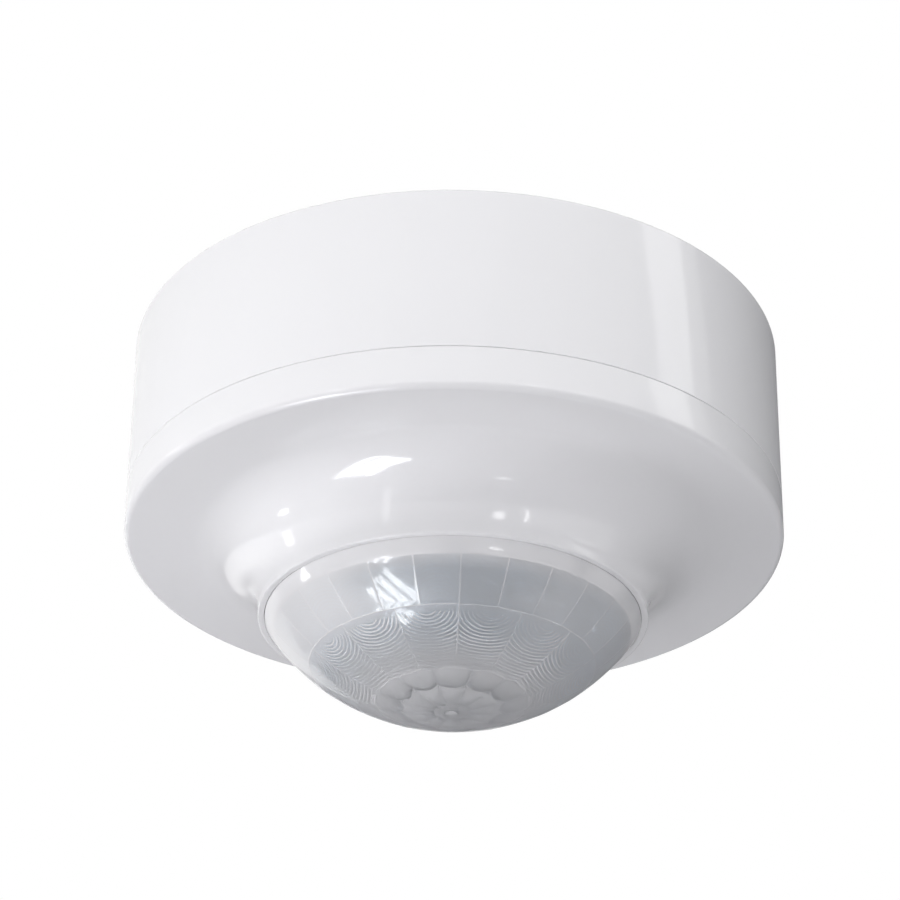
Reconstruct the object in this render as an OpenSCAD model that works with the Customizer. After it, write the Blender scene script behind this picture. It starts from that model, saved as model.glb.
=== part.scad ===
// Ceiling motion sensor: a round base drum that holds the electronics, and a
// pull-off front cover with a flared neck and a domed lens. Lengths are in millimetres.
// Each piece is drawn lying on its back, so z is the depth below the ceiling,
// and hang() turns it to hang from the ceiling plane at z = 0.

/* [Housing] */
// Outside diameter of the base drum and of the cover
housing_d = 115; // [113:1:120]
// Depth of the base drum, from the ceiling to the seam
base_h = 30; // [29:0.5:32]
// Height of the cover's outer band, from the seam to its face
band_h = 7.5; // [7:0.25:9]
// Thickness of the drum's side wall
wall = 2.4; // [2:0.1:2.8]
// Thickness of the drum's back plate
back_t = 2.6; // [2.4:0.1:3]
// Gap between drum and cover that shows as the seam
seam_gap = 0.25; // [0.2:0.05:0.4]
// Radius of the cover's outer edge
edge_r = 1.2; // [0.8:0.1:1.6]

/* [Front cover and lens] */
// Thickness of the cover's face
cover_t = 2.2; // [2:0.1:2.4]
// Height of the flared neck, from the face to the lens rim
neck_h = 13.8; // [13.5:0.1:15]
// Radius of the concave flare
flare_r = 12; // [11:0.5:12.5]
// Diameter of the lens where it leaves the neck
lens_d = 65.8; // [64:0.2:67]
// Thickness of the neck's lip around the lens
lip_t = 0.7; // [0.5:0.1:1]
// Height of the lens dome above the neck's lip
dome_h = 17; // [15:0.5:19]
// Thickness of the lens
lens_t = 0.8; // [0.7:0.1:1]
// Number of facets in each ring of the lens, from the rim inwards
facet_counts = [24, 16, 10, 5]; // [4:1:30]

/* [Boards] */
// Thickness of both circuit boards
board_t = 1.6; // [1.2:0.1:1.6]
// Depth of the main board's back face
main_board_z = 10; // [9:0.5:10.5]
// Diameter of the sensor board
sensor_board_d = 48; // [47:0.5:50]

/* [Adjusters] */
// Diameter of an adjuster knob
knob_d = 6.4; // [5.6:0.1:6.8]
// Height of a knob above its trimmer
knob_h = 5.5; // [4.5:0.5:6]
// Diameter of a knob's stem
stem_d = 3.5; // [3:0.1:4]

/* [Mounting] */
// Distance between the two ceiling screw slots
screw_spacing = 78; // [76:1:80]
// Width of a ceiling screw slot
slot_w = 4.8; // [4.2:0.1:5.2]
// Length of a ceiling screw slot
slot_l = 9; // [8:0.5:10]
// Bore of the cable grommet
cable_d = 8.4; // [7:0.2:9]

/* [Hidden] */
$fn = 96;
nothing = 0.01;
past = 1;
screw_slack = 0.1;
hole_slack = 0.3;

// Drum and cover
housing_r = housing_d / 2;
bore_r = housing_r - wall;
face_z = base_h + band_h;
inner_face_z = face_z - cover_t;
spigot_gap = 0.35;
spigot_r = bore_r - spigot_gap;
spigot_t = 1.5;
spigot_in_r = spigot_r - spigot_t;
spigot_h = 5;
bead_z = base_h - 3.2;
bead_h = 1;
bead_out = 0.25;
bead_angle = 16;
bead_count = 4;
groove_h = 1.6;
groove_depth = 0.5;
chamfer = 0.3;
pry_w = 9;
pry_h = 1.1;
pry_depth = 2;

// Neck and lens seat
neck_r = lens_d / 2 + 0.1;
lip_r = neck_r + lip_t;
flare_centre = [lip_r + flare_r, face_z + flare_r];
lip_z = face_z + neck_h;
flange_t = 1.2;
hoop_h = 3;
seat_z = inner_face_z + flange_t + hoop_h;
seat_r = neck_r + 4.5;
flange_r = seat_r - 0.3;
skirt_r = neck_r - 0.25;
dome_rim_r = lens_d / 2;
dome_r = (dome_rim_r * dome_rim_r + dome_h * dome_h) / (2 * dome_h);
dome_z = lip_z + dome_h - dome_r;
pip_r = 1.1;
pip_h = 0.15;
skirt_in = 0.6;

// Facets are bounded by these angles from the dome's axis, from the rim inwards
facet_rings = [50.5, 38.5, 21.5, 12.5, 3];
facet_turn = 2.3;
rib_w = 0.35;
rib_h = 0.25;

// Lens retainer, held by screws from the inside
brim_t = 1.6;
brim_r = seat_r + 2.5;
hoop_r = skirt_r - 1.6;
ear_r = 3.8;
ear_at = 42.5;
ear_angles = [30, 150, 270];
ear_hole_d = 2.5;
ear_pilot_d = 1.8;
ear_screw_l = 3.6;
ear_screw_head = [4, 1.4];

// Boards and what carries them
board_gap = 8;
main_board_r = housing_r - board_gap;
main_top = main_board_z + board_t;
chord_y = -32.5;
post_places = [[40, -15], [-40, -15], [26, 36], [-26, 36]];
post_r = 3.5;
pilot_d = 2.6;
board_screw_l = 6;
board_screw_head = [5.6, 2];
access_d = 11;
sensor_board_r = sensor_board_d / 2;
sensor_z = base_h + 1;
sensor_top = sensor_z + board_t;
sensor_flat_y = -16;
pillar_places = [[19.5, -6], [-19.5, -6], [0, 20.6]];
pillar_af = 5.5;
pillar_stud_d = 2.9;
pillar_bore_d = 2.6;
pillar_bore_h = 6;
pillar_screw_head = [5.2, 1.9];

// Link between the boards
pin_pitch = 2.54;
pin_w = 0.64;
pin_hole_d = 1;
link_pins_n = 5;
link_at = [-18.8, -0.5];
link_places = [for (i = [0 : link_pins_n - 1]) link_at + [0, i * pin_pitch]];
strip_w = 2.5;
pin_proud = 0.6;

// Power parts on the main board
pole_pitch = 8;
poles = [-1, 0, 1];
lead_d = 0.8;
lead_hole_d = 1;
relay_at = [28, 22];
relay_size = [19, 15.4, 15.5];
film_at = [-28, 24];
film_size = [18, 9, 15];
big_cap_at = [-28, -11];
big_cap = [10, 16];
small_cap_at = [-21, -23];
small_cap = [8, 11.5];
varistor_at = [30, -14];
varistor_d = 11;
varistor_t = 4.2;
varistor_lift = 1.5;
varistor_edge = 1.4;
varistor_pitch = 5;
varistor_near = (varistor_pitch - lead_d) / 2;
varistor_rise = varistor_d / 2 - sqrt(pow(varistor_d / 2, 2) - pow(varistor_near, 2));
fuse_at = [21, -25];
fuse_d = 8.5;
fuse_h = 8;
diode_xs = [-9, -3, 3, 9];
diode_y = 41.2;
diode_span = 9;
diode_d = 2.7;
diode_l = 5.2;
resistor_xs = [-10, -5, 0, 5, 10];
resistor_y = 29.5;
resistor_span = 10;
resistor_d = 2.4;
resistor_l = 6.3;
axial_lift = 2;
driver_at = [13, 9];
driver_d = 4.8;
driver_h = 4.6;
driver_lift = 3;
driver_lead_d = 0.55;

function at_both(place, dx, dy = 0) = [place + [dx, dy], place - [dx, dy]];
relay_leads = [for (o = [[-8, -6], [-8, 6], [6, -6], [6, 6], [8, 0]]) relay_at + o];
film_leads = at_both(film_at, 7.5);
big_cap_leads = at_both(big_cap_at, 2.5);
small_cap_leads = at_both(small_cap_at, 1.75);
varistor_leads = at_both(varistor_at, varistor_pitch / 2);
fuse_leads = at_both(fuse_at, 2.5);
driver_leads = [for (o = [[-1.4, -0.3], [0, 1.1], [1.4, -0.3]]) driver_at + o];
axial_leads = [
    for (x = diode_xs) each at_both([x, diode_y], 0, diode_span / 2),
    for (x = resistor_xs) each at_both([x, resistor_y], 0, resistor_span / 2)
];
terminal_leads = [for (pole = poles) [pole * pole_pitch, -22]];
all_leads = concat(relay_leads, film_leads, big_cap_leads, small_cap_leads,
    varistor_leads, fuse_leads, driver_leads, axial_leads, terminal_leads);
solder_r = 0.9;
solder_h = 1.1;

// Terminal block
block_size = [26, 12, 13];
block_at = [0, -25];
well_d = 4.4;
wire_d = 4.4;
wire_z = main_top + 4.2;
cage_size = [5.4, 6.4, 6.6];
cage_gap = 0.15;
cage_t = 0.8;
cage_way_h = 3.9;
clamp_screw_d = 3.2;
clamp_screw_head_d = 4;

// Heat sensor, light sensor, lamp and chip on the sensor board
spacer_r = 6.5;
spacer_h = 3.5;
can_flange_r = 4.6;
can_flange_h = 0.7;
can_r = 4.15;
can_h = 4.2;
can_wall = 0.3;
window_size = [4.6, 3.6];
window_t = 0.5;
pyro_lead_r = 2.54;
pyro_lead_d = 0.45;
chip_at = [0, -11.5];
chip_size = [9.9, 3.9, 1.5];
chip_lift = 0.1;
chip_pitch = 1.27;
chip_legs_n = 8;
led_at = [-10.5, -8.5];
led_d = 3;
led_h = 5;
light_cell_at = [10.5, -8.5];
light_cell_d = 5.1;
light_cell_h = 2.1;

// Trimmers
trimmer_ring = 13.5;
trimmer_angles = [145, 90, 35];
trimmer_size = [7, 7, 4.2];
stem_gap = 0.06;
trimmer_top = sensor_top + trimmer_size[2];

// Cable grommet
grommet_at = [0, -44];
grommet_neck_r = 6.3;
grommet_flange_r = 8;
grommet_flange_t = 1.2;
grommet_inner_t = 1.4;
breakout_r = 10;
breakout_w = 0.8;
breakout_depth = 1.5;

// Turns a piece drawn on its back so that it hangs below the ceiling plane.
module hang() {
    rotate([180, 0, 0]) children();
}

// Puts a copy of its children at each [x, y] in a list.
module at_each(places, z = 0) {
    for (p = places) translate([p[0], p[1], z]) children();
}

module tube(r_out, r_in, z, h) {
    translate([0, 0, z]) difference() {
        cylinder(r = r_out, h = h);
        translate([0, 0, -past]) cylinder(r = r_in, h = h + 2 * past);
    }
}

// A box centred on x and y that rises from z = 0.
module block(size) {
    translate([-size[0] / 2, -size[1] / 2, 0]) cube(size);
}

// A slot with round ends, along x and centred on the origin.
module slot(length, width, h) {
    for (side = [-1, 1]) translate([side * (length - width) / 2, 0, 0])
        cylinder(d = width, h = h);
    block([length - width, width, h]);
}

// A pan-head screw with its head above z = 0 and its shank below.
module pan_screw(shank_d, shank_l, head) {
    head_d = head[0];
    head_h = head[1];
    straight_h = head_h * 0.6;
    crown_d = head_d * 0.72;
    recess = [head_d * 0.55, 0.7, head_h * 0.55];
    difference() {
        union() {
            cylinder(d = head_d, h = straight_h);
            translate([0, 0, straight_h]) cylinder(d1 = head_d, d2 = crown_d, h = head_h - straight_h);
            translate([0, 0, -shank_l]) cylinder(d = shank_d, h = shank_l + nothing);
        }
        for (turn = [0, 90]) rotate(turn)
            translate([0, 0, head_h - recess[2] + nothing]) block(recess);
    }
}

// Rounds the outer corner of a profile at [r, z], where both grow outwards.
module corner_cut(r, z, radius) {
    translate([r - radius, z - radius]) difference() {
        square(radius + past);
        circle(radius);
    }
}

// Base drum: side wall, back plate, board posts, snap groove and entries.
module base_housing() {
    color("white") hang() difference() {
        union() {
            rotate_extrude() difference() {
                square([housing_r, base_h]);
                translate([-past, back_t]) square([bore_r + past, base_h]);
                translate([bore_r - past, bead_z - groove_h / 2])
                    square([past + groove_depth, groove_h]);
                translate([housing_r, 0]) circle(chamfer, $fn = 4);
                translate([housing_r, base_h]) circle(chamfer, $fn = 4);
                translate([bore_r, base_h]) circle(chamfer, $fn = 4);
            }
            at_each(post_places) cylinder(r = post_r, h = main_board_z);
        }
        at_each(post_places, main_board_z - board_screw_l)
            cylinder(d = pilot_d, h = board_screw_l + past);
        for (side = [-1, 1]) translate([side * screw_spacing / 2, 0, -past])
            slot(slot_l, slot_w, back_t + 2 * past);
        translate([grommet_at[0], grommet_at[1], -past]) {
            cylinder(r = grommet_neck_r, h = back_t + 2 * past);
            cylinder(r = grommet_flange_r + 0.2, h = past + grommet_flange_t);
        }
        tube(breakout_r + breakout_w / 2, breakout_r - breakout_w / 2, -past, past + breakout_depth);
    }
}

// Rubber grommet in the back plate, with its outer flange flush in a recess.
module cable_grommet() {
    inner_r = cable_d / 2;
    color("dimgray") hang() translate([grommet_at[0], grommet_at[1], 0]) {
        tube(grommet_flange_r, inner_r, 0.1, grommet_flange_t - 0.1);
        tube(grommet_neck_r, inner_r, grommet_flange_t - nothing, back_t - grommet_flange_t + 2 * nothing);
        tube(grommet_flange_r, inner_r, back_t, grommet_inner_t);
    }
}

// Main board: a round board with a flat side that leaves room for the supply cable.
module main_board() {
    cut_h = board_t + 2 * past;
    color("darkgreen") hang() difference() {
        translate([0, 0, main_board_z]) cylinder(r = main_board_r, h = board_t);
        translate([-housing_r, chord_y - housing_r, main_board_z - past])
            cube([housing_d, housing_r, cut_h]);
        at_each(post_places, main_board_z - past) cylinder(d = pilot_d + hole_slack, h = cut_h);
        at_each(pillar_places, main_board_z - past) cylinder(d = pillar_stud_d + hole_slack, h = cut_h);
        at_each(all_leads, main_board_z - past) cylinder(d = lead_hole_d, h = cut_h);
        at_each(link_places, main_board_z - past) cylinder(d = pin_hole_d, h = cut_h);
        for (side = [-1, 1]) translate([side * screw_spacing / 2, 0, main_board_z - past])
            cylinder(d = access_d, h = cut_h);
    }
}

module main_board_screws() {
    color("silver") hang() at_each(post_places, main_top)
        pan_screw(pilot_d - screw_slack, board_screw_l, board_screw_head);
}

// Terminal block with wire holes towards the cable and a screw well over each pole.
module terminal_block() {
    well_z = main_top + block_size[2];
    groove = [0.8, block_size[1] + past, 1];
    front_y = -block_size[1] / 2;
    color("dimgray") hang() translate([block_at[0], block_at[1], 0]) difference() {
        translate([0, 0, main_top]) block(block_size);
        for (pole = poles) translate([pole * pole_pitch, 0, 0]) {
            translate([0, front_y - past, wire_z]) rotate([-90, 0, 0])
                cylinder(d = wire_d, h = past + block_size[1] / 2);
            translate([0, 0, wire_z]) cylinder(d = well_d, h = well_z - wire_z + past);
            translate([0, 0, wire_z - cage_size[2] / 2 - cage_gap])
                block(cage_size + [2, 2, 2] * cage_gap);
        }
        for (edge = [-0.5, 0.5]) translate([edge * pole_pitch, 0, well_z - groove[2] + nothing])
            block(groove);
    }
}

// Clamp cages in the terminal block, each a box with a wire hole and a screw thread.
module terminal_clamps() {
    way = [cage_size[0] - 2 * cage_t, cage_size[1] + past, cage_way_h];
    color("goldenrod") hang() at_each([for (p = poles) block_at + [p * pole_pitch, 0]], wire_z)
        difference() {
            translate([0, 0, -cage_size[2] / 2]) block(cage_size);
            translate([0, 0, cage_t - cage_size[2] / 2]) block(way);
            cylinder(d = clamp_screw_d + screw_slack, h = cage_size[2]);
        }
}

// Slotted clamp screws, driven from the room side.
module terminal_screws() {
    tip_in = 0.8;
    head_out = 0.6;
    head_h = 2;
    cut = [clamp_screw_head_d + past, 0.8, 0.9];
    screw_z = wire_z + tip_in;
    head_z = wire_z + cage_size[2] / 2 + head_out;
    color("silver") hang() at_each([for (p = poles) block_at + [p * pole_pitch, 0]])
        difference() {
            union() {
                translate([0, 0, screw_z]) cylinder(d = clamp_screw_d, h = head_z - screw_z + nothing);
                translate([0, 0, head_z]) cylinder(d = clamp_screw_head_d, h = head_h);
            }
            translate([0, 0, head_z + head_h - cut[2] + nothing]) block(cut);
        }
}

// Relay that switches the lamp circuit: a sealed case with a vent pip.
module relay() {
    step = 0.6;
    pip_in = 3;
    pip_d = 1.6;
    pip_h = 0.4;
    color("midnightblue") hang() translate([relay_at[0], relay_at[1], main_top]) {
        block([relay_size[0], relay_size[1], relay_size[2] - step]);
        translate([0, 0, relay_size[2] - step - nothing])
            block([relay_size[0] - 2 * step, relay_size[1] - 2 * step, step + nothing]);
        translate([pip_in - relay_size[0] / 2, relay_size[1] / 2 - pip_in, relay_size[2] - nothing])
            cylinder(d = pip_d, h = pip_h);
    }
}

// Film capacitor that drops the mains voltage: a potted box.
module film_capacitor() {
    foot_l = 2;
    foot_h = 0.8;
    color("gold") hang() translate([film_at[0], film_at[1], main_top]) difference() {
        block(film_size);
        for (side = [-1, 1]) translate([0, side * film_size[1] / 2, -past])
            block([film_size[0] - 2 * foot_l, foot_l, past + foot_h]);
    }
}

// A round capacitor can with a crimp near its foot and a rolled top edge.
module can_capacitor(d, h) {
    r = d / 2;
    crimp_r = 0.8;
    crimp_z = 2;
    crimp_out = 0.35;
    top_r = r * 0.78;
    top_dip = 0.25;
    rotate_extrude() difference() {
        square([r, h]);
        translate([r + crimp_out, crimp_z]) circle(crimp_r);
        corner_cut(r, h, crimp_r);
        translate([0, h - top_dip]) square([top_r, past]);
    }
}

module smoothing_capacitors() {
    color("darkslategray") hang() {
        translate([big_cap_at[0], big_cap_at[1], main_top]) can_capacitor(big_cap[0], big_cap[1]);
        translate([small_cap_at[0], small_cap_at[1], main_top]) can_capacitor(small_cap[0], small_cap[1]);
    }
}

// Surge absorber: a coated disc that stands on its edge.
module varistor() {
    disc_r = varistor_d / 2;
    color("royalblue") hang()
        translate([varistor_at[0], varistor_at[1], main_top + varistor_lift + disc_r]) rotate([90, 0, 0])
            translate([0, 0, -varistor_t / 2]) rotate_extrude() difference() {
                square([disc_r, varistor_t]);
                corner_cut(disc_r, varistor_t, varistor_edge);
                translate([0, varistor_t]) mirror([0, 1]) corner_cut(disc_r, varistor_t, varistor_edge);
            }
}

// Radial fuse with a domed cap.
module fuse() {
    cap_r = 1.2;
    foot_in = 0.5;
    foot_h = 0.8;
    color("saddlebrown") hang() translate([fuse_at[0], fuse_at[1], main_top]) rotate_extrude()
        difference() {
            square([fuse_d / 2, fuse_h]);
            corner_cut(fuse_d / 2, fuse_h, cap_r);
            translate([fuse_d / 2 - foot_in, -past]) square([past, past + foot_h]);
        }
}

// Lays its children, drawn along z and centred, along y at the height of an axial part.
module axial(x, y) {
    translate([x, y, main_top + axial_lift]) rotate([90, 0, 0]) children();
}

module rectifier_diodes() {
    color("black") hang() for (x = diode_xs) axial(x, diode_y)
        cylinder(d = diode_d, h = diode_l, center = true);
}

// Axial resistors with fuller ends.
module resistors() {
    end_l = 1.4;
    waist_d = resistor_d - 0.4;
    color("burlywood") hang() for (x = resistor_xs) axial(x, resistor_y) {
        cylinder(d = waist_d, h = resistor_l, center = true);
        for (side = [-1, 1]) translate([0, 0, side * (resistor_l - end_l) / 2])
            cylinder(d = resistor_d, h = end_l, center = true);
    }
}

// Transistor that drives the relay coil: a round body with a flat face.
module relay_driver() {
    flat_y = -1.2;
    color("black") hang() translate([driver_at[0], driver_at[1], main_top + driver_lift]) difference() {
        cylinder(d = driver_d, h = driver_h);
        translate([-driver_d, flat_y - driver_d, -past])
            cube([2 * driver_d, driver_d, driver_h + 2 * past]);
    }
}

// An axial part's two leads: out of the body, then down through the board.
module axial_lead_pair(x, y, span, body_l) {
    stub = (span - body_l) / 2;
    for (side = [-1, 1]) {
        translate([x, y + side * (body_l + stub) / 2, main_top + axial_lift]) rotate([90, 0, 0])
            cylinder(d = lead_d, h = stub, center = true);
        translate([x, y + side * span / 2, main_board_z]) cylinder(d = lead_d, h = board_t + axial_lift);
        translate([x, y + side * span / 2, main_top + axial_lift]) sphere(d = lead_d);
    }
}

// Leads of every part on the main board, through its holes to its back face.
module component_leads() {
    color("lightgray") hang() {
        at_each(concat(relay_leads, film_leads, big_cap_leads, small_cap_leads, fuse_leads, terminal_leads),
            main_board_z) cylinder(d = lead_d, h = board_t);
        at_each(varistor_leads, main_board_z)
            cylinder(d = lead_d, h = board_t + varistor_lift + varistor_rise);
        at_each(driver_leads, main_board_z) cylinder(d = driver_lead_d, h = board_t + driver_lift);
        for (x = diode_xs) axial_lead_pair(x, diode_y, diode_span, diode_l);
        for (x = resistor_xs) axial_lead_pair(x, resistor_y, resistor_span, resistor_l);
    }
}

// Solder cones on the back of the main board.
module solder_joints() {
    color("silver") hang() at_each(concat(all_leads, link_places), main_board_z - solder_h)
        cylinder(r1 = solder_r * 0.35, r2 = solder_r, h = solder_h);
}

// Hexagonal pillars that carry the sensor board, with a stud through the main board.
module board_pillars() {
    pillar_r = pillar_af / sqrt(3);
    color("ivory") hang() at_each(pillar_places) difference() {
        union() {
            translate([0, 0, main_top]) cylinder(r = pillar_r, h = sensor_z - main_top, $fn = 6);
            translate([0, 0, main_board_z]) cylinder(d = pillar_stud_d, h = board_t + nothing);
        }
        translate([0, 0, sensor_z - pillar_bore_h]) cylinder(d = pillar_bore_d, h = pillar_bore_h + past);
    }
}

// Sensor board, with a flat side that leaves the terminal screws in reach.
module sensor_board() {
    cut_h = board_t + 2 * past;
    color("darkgreen") hang() difference() {
        translate([0, 0, sensor_z]) cylinder(r = sensor_board_r, h = board_t);
        translate([-sensor_board_d, sensor_flat_y - sensor_board_d, sensor_z - past])
            cube([2 * sensor_board_d, sensor_board_d, cut_h]);
        at_each(pillar_places, sensor_z - past) cylinder(d = pillar_bore_d + hole_slack, h = cut_h);
        at_each(link_places, sensor_z - past) cylinder(d = pin_hole_d, h = cut_h);
        for (turn = [90, 180, 270]) rotate(turn) translate([pyro_lead_r, 0, sensor_z - past])
            cylinder(d = pyro_lead_d + hole_slack, h = cut_h);
    }
}

module sensor_board_screws() {
    color("silver") hang() at_each(pillar_places, sensor_top)
        pan_screw(pillar_bore_d - screw_slack, board_t + pillar_bore_h - past, pillar_screw_head);
}

// The two plastic strips that hold the link pins, one on each board.
module link_strips() {
    strip_l = link_pins_n * pin_pitch;
    middle_y = link_at[1] + (link_pins_n - 1) * pin_pitch / 2;
    color("black") hang() for (z = [main_top, sensor_z - strip_w]) difference() {
        translate([link_at[0], middle_y, z]) block([strip_w, strip_l, strip_w]);
        at_each(link_places, z - past) cylinder(d = pin_hole_d, h = strip_w + 2 * past);
    }
}

module link_pins() {
    color("gold") hang() at_each(link_places, main_board_z)
        block([pin_w, pin_w, sensor_top - main_board_z + pin_proud]);
}

// Collar that lifts the heat sensor towards the middle of the lens.
module heat_sensor_spacer() {
    color("whitesmoke") hang() difference() {
        translate([0, 0, sensor_top]) rotate_extrude() difference() {
            square([spacer_r, spacer_h]);
            corner_cut(spacer_r, spacer_h, 0.8);
        }
        for (turn = [90, 180, 270]) rotate(turn) translate([pyro_lead_r, 0, sensor_top - past])
            cylinder(d = pyro_lead_d + hole_slack, h = spacer_h + 2 * past);
    }
}

// Metal can of the heat sensor, with a rectangular opening in its end.
module heat_sensor_can() {
    can_z = sensor_top + spacer_h;
    color("gainsboro") hang() translate([0, 0, can_z]) difference() {
        union() {
            cylinder(r = can_flange_r, h = can_flange_h);
            rotate_extrude() difference() {
                square([can_r, can_h]);
                corner_cut(can_r, can_h, 0.5);
            }
            translate([can_flange_r - 0.4, -0.4, 0]) cube([1.2, 0.8, can_flange_h * 0.6]);
        }
        translate([0, 0, can_flange_h]) cylinder(r = can_r - can_wall, h = can_h - can_flange_h - can_wall);
        translate([0, 0, can_h - can_wall - past])
            block([window_size[0], window_size[1], can_wall + 2 * past]);
    }
}

// Infrared filter plate behind the can's opening.
module heat_sensor_window() {
    plate = [window_size[0] + 1, window_size[1] + 1, window_t];
    color("darkslategray") hang()
        translate([0, 0, sensor_top + spacer_h + can_h - can_wall - window_t]) block(plate);
}

module heat_sensor_leads() {
    color("gold") hang() for (turn = [90, 180, 270]) rotate(turn) translate([pyro_lead_r, 0, sensor_z])
        cylinder(d = pyro_lead_d, h = board_t + spacer_h);
}

// Light-dependent cell: a round disc with two flat sides.
module light_cell() {
    color("orangered") hang() translate([light_cell_at[0], light_cell_at[1], sensor_top]) intersection() {
        cylinder(d = light_cell_d, h = light_cell_h);
        block([light_cell_d * 0.84, light_cell_d, light_cell_h]);
    }
}

// Indicator lamp: a small round-ended lamp with a foot ring.
module indicator_lamp() {
    color("red") hang() translate([led_at[0], led_at[1], sensor_top]) {
        cylinder(d = led_d + 0.8, h = 1);
        cylinder(d = led_d, h = led_h - led_d / 2);
        translate([0, 0, led_h - led_d / 2]) sphere(d = led_d);
    }
}

// Control chip: a flat moulded body with a pin-one dimple.
module control_chip() {
    dimple_d = 0.9;
    dimple_h = 0.15;
    dimple_at = [1.1, 1] - [chip_size[0], chip_size[1]] / 2;
    color("black") hang() translate([chip_at[0], chip_at[1], sensor_top + chip_lift]) difference() {
        block(chip_size);
        translate([dimple_at[0], dimple_at[1], chip_size[2] - dimple_h]) cylinder(d = dimple_d, h = past);
    }
}

// Gull-wing legs along both long sides of the chip.
module chip_legs() {
    first = -(chip_legs_n - 1) * chip_pitch / 2;
    leg_w = 0.42;
    leg_t = 0.2;
    leg_out = 0.6;
    color("silver") hang() for (i = [0 : chip_legs_n - 1], side = [0, 1])
        translate([chip_at[0] + first + i * chip_pitch, chip_at[1], sensor_top]) mirror([0, side]) {
            translate([-leg_w / 2, chip_size[1] / 2, chip_size[2] / 2 - leg_t])
                cube([leg_w, leg_out, leg_t]);
            translate([-leg_w / 2, chip_size[1] / 2 + leg_out - leg_t, 0])
                cube([leg_w, leg_t, chip_size[2] / 2]);
            translate([-leg_w / 2, chip_size[1] / 2 + leg_out - nothing, 0]) cube([leg_w, 0.5, leg_t]);
        }
}

// Moves its children to the axis of an adjuster, turned to face the board's middle.
module at_trimmer(i) {
    rotate(trimmer_angles[i]) translate([trimmer_ring, 0, 0]) rotate(-90) children();
}

// Trimmer body: a square block with a round bore for the knob's stem.
module trimmer(i) {
    stem_bore_d = stem_d + 2 * stem_gap;
    notch = [0.8, 2.4, 1.6];
    color("steelblue") hang() at_trimmer(i) difference() {
        translate([0, 0, sensor_top]) block(trimmer_size);
        translate([0, 0, sensor_top - past]) cylinder(d = stem_bore_d, h = trimmer_size[2] + 2 * past);
        for (side = [-1, 1]) translate([side * trimmer_size[0] / 2, 0, sensor_top - nothing])
            block(notch);
    }
}

module sensitivity_trimmer() {
    trimmer(0);
}

module time_trimmer() {
    trimmer(1);
}

module dusk_trimmer() {
    trimmer(2);
}

// Adjuster knob: a ribbed head with a driver slot and a pointer notch, on a round stem.
module knob(i) {
    head_z = trimmer_top + 0.3;
    stem_z = sensor_top + 0.4;
    top_z = head_z + knob_h;
    edge = 0.5;
    driver_slot = [0.9, knob_d - 2, 1.4];
    pointer = [0.9, 1.4, 2.4];
    flute_d = 0.9;
    flute_out = 0.25;
    flute_foot = 0.8;
    flutes_n = 12;
    color("whitesmoke") hang() at_trimmer(i) difference() {
        union() {
            translate([0, 0, stem_z]) cylinder(d = stem_d, h = head_z - stem_z + nothing);
            translate([0, 0, head_z]) rotate_extrude() difference() {
                square([knob_d / 2, knob_h]);
                corner_cut(knob_d / 2, knob_h, edge);
            }
        }
        translate([0, 0, top_z - driver_slot[2] + nothing]) block(driver_slot);
        translate([0, knob_d / 2, top_z - pointer[2] + nothing]) block(pointer);
        for (k = [1 : flutes_n - 1]) rotate(90 + k * 360 / flutes_n)
            translate([knob_d / 2 + flute_out, 0, head_z + flute_foot]) cylinder(d = flute_d, h = knob_h);
    }
}

module sensitivity_knob() {
    knob(0);
}

module time_knob() {
    knob(1);
}

module dusk_knob() {
    knob(2);
}

// Half section of the cover: band and spigot, face, flare, lip and lens seat.
module cover_section() {
    band_z = base_h + seam_gap;
    difference() {
        union() {
            translate([spigot_in_r, base_h - spigot_h]) square([spigot_t, spigot_h + band_h - nothing]);
            translate([spigot_in_r, band_z]) square([housing_r - spigot_in_r, face_z - band_z]);
            translate([neck_r, inner_face_z]) square([housing_r - neck_r - edge_r, cover_t]);
            translate([neck_r, inner_face_z]) square([flare_centre[0] - neck_r, lip_z - inner_face_z]);
        }
        translate(flare_centre) circle(flare_r);
        translate([lip_r, flare_centre[1]]) square([flare_r + past, neck_h]);
        translate([-past, inner_face_z - past]) square([seat_r + past, seat_z - inner_face_z + past]);
        translate([housing_r, band_z]) circle(chamfer, $fn = 4);
        corner_cut(housing_r, face_z, edge_r);
        corner_cut(lip_r, lip_z, lip_t * 0.4);
    }
}

// Front cover with snap beads on its spigot, screw pilots and a slot to pry it off.
module front_cover() {
    color("white") hang() difference() {
        union() {
            rotate_extrude() cover_section();
            for (k = [0 : bead_count - 1]) rotate(45 + k * 360 / bead_count - bead_angle / 2)
                rotate_extrude(angle = bead_angle) translate([spigot_r - spigot_t / 2, bead_z - bead_h / 2])
                    square([spigot_t / 2 + bead_out, bead_h]);
        }
        for (a = ear_angles) rotate(a) translate([ear_at, 0, inner_face_z - past])
            cylinder(d = ear_pilot_d, h = past + ear_screw_l - brim_t + screw_slack);
        translate([0, -housing_r, base_h]) block([pry_w, 2 * pry_depth, pry_h]);
    }
}

// Half section of the lens dome between its outer and inner spheres.
module dome_section(outer, inner) {
    intersection() {
        translate([0, dome_z]) difference() {
            circle(outer);
            circle(inner);
        }
        translate([0, lip_z]) square([housing_r, housing_r]);
    }
}

// Ribs on the inside of the dome along the facets' edges.
module facet_ribs() {
    inner = dome_r - lens_t;
    rib_top = inner - rib_h;
    for (i = [0 : len(facet_counts) - 1]) {
        r_out = inner * sin(facet_rings[i]);
        r_in = inner * sin(facet_rings[i + 1]);
        intersection() {
            rotate_extrude() dome_section(inner + lens_t / 2, rib_top);
            union() {
                tube(r_out + rib_w / 2, r_out - rib_w / 2, lip_z, dome_h);
                for (k = [0 : facet_counts[i] - 1]) rotate(90 + facet_turn + k * 360 / facet_counts[i])
                    translate([r_in, -rib_w / 2, lip_z]) cube([r_out - r_in, rib_w, dome_h]);
            }
        }
    }
}

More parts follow.
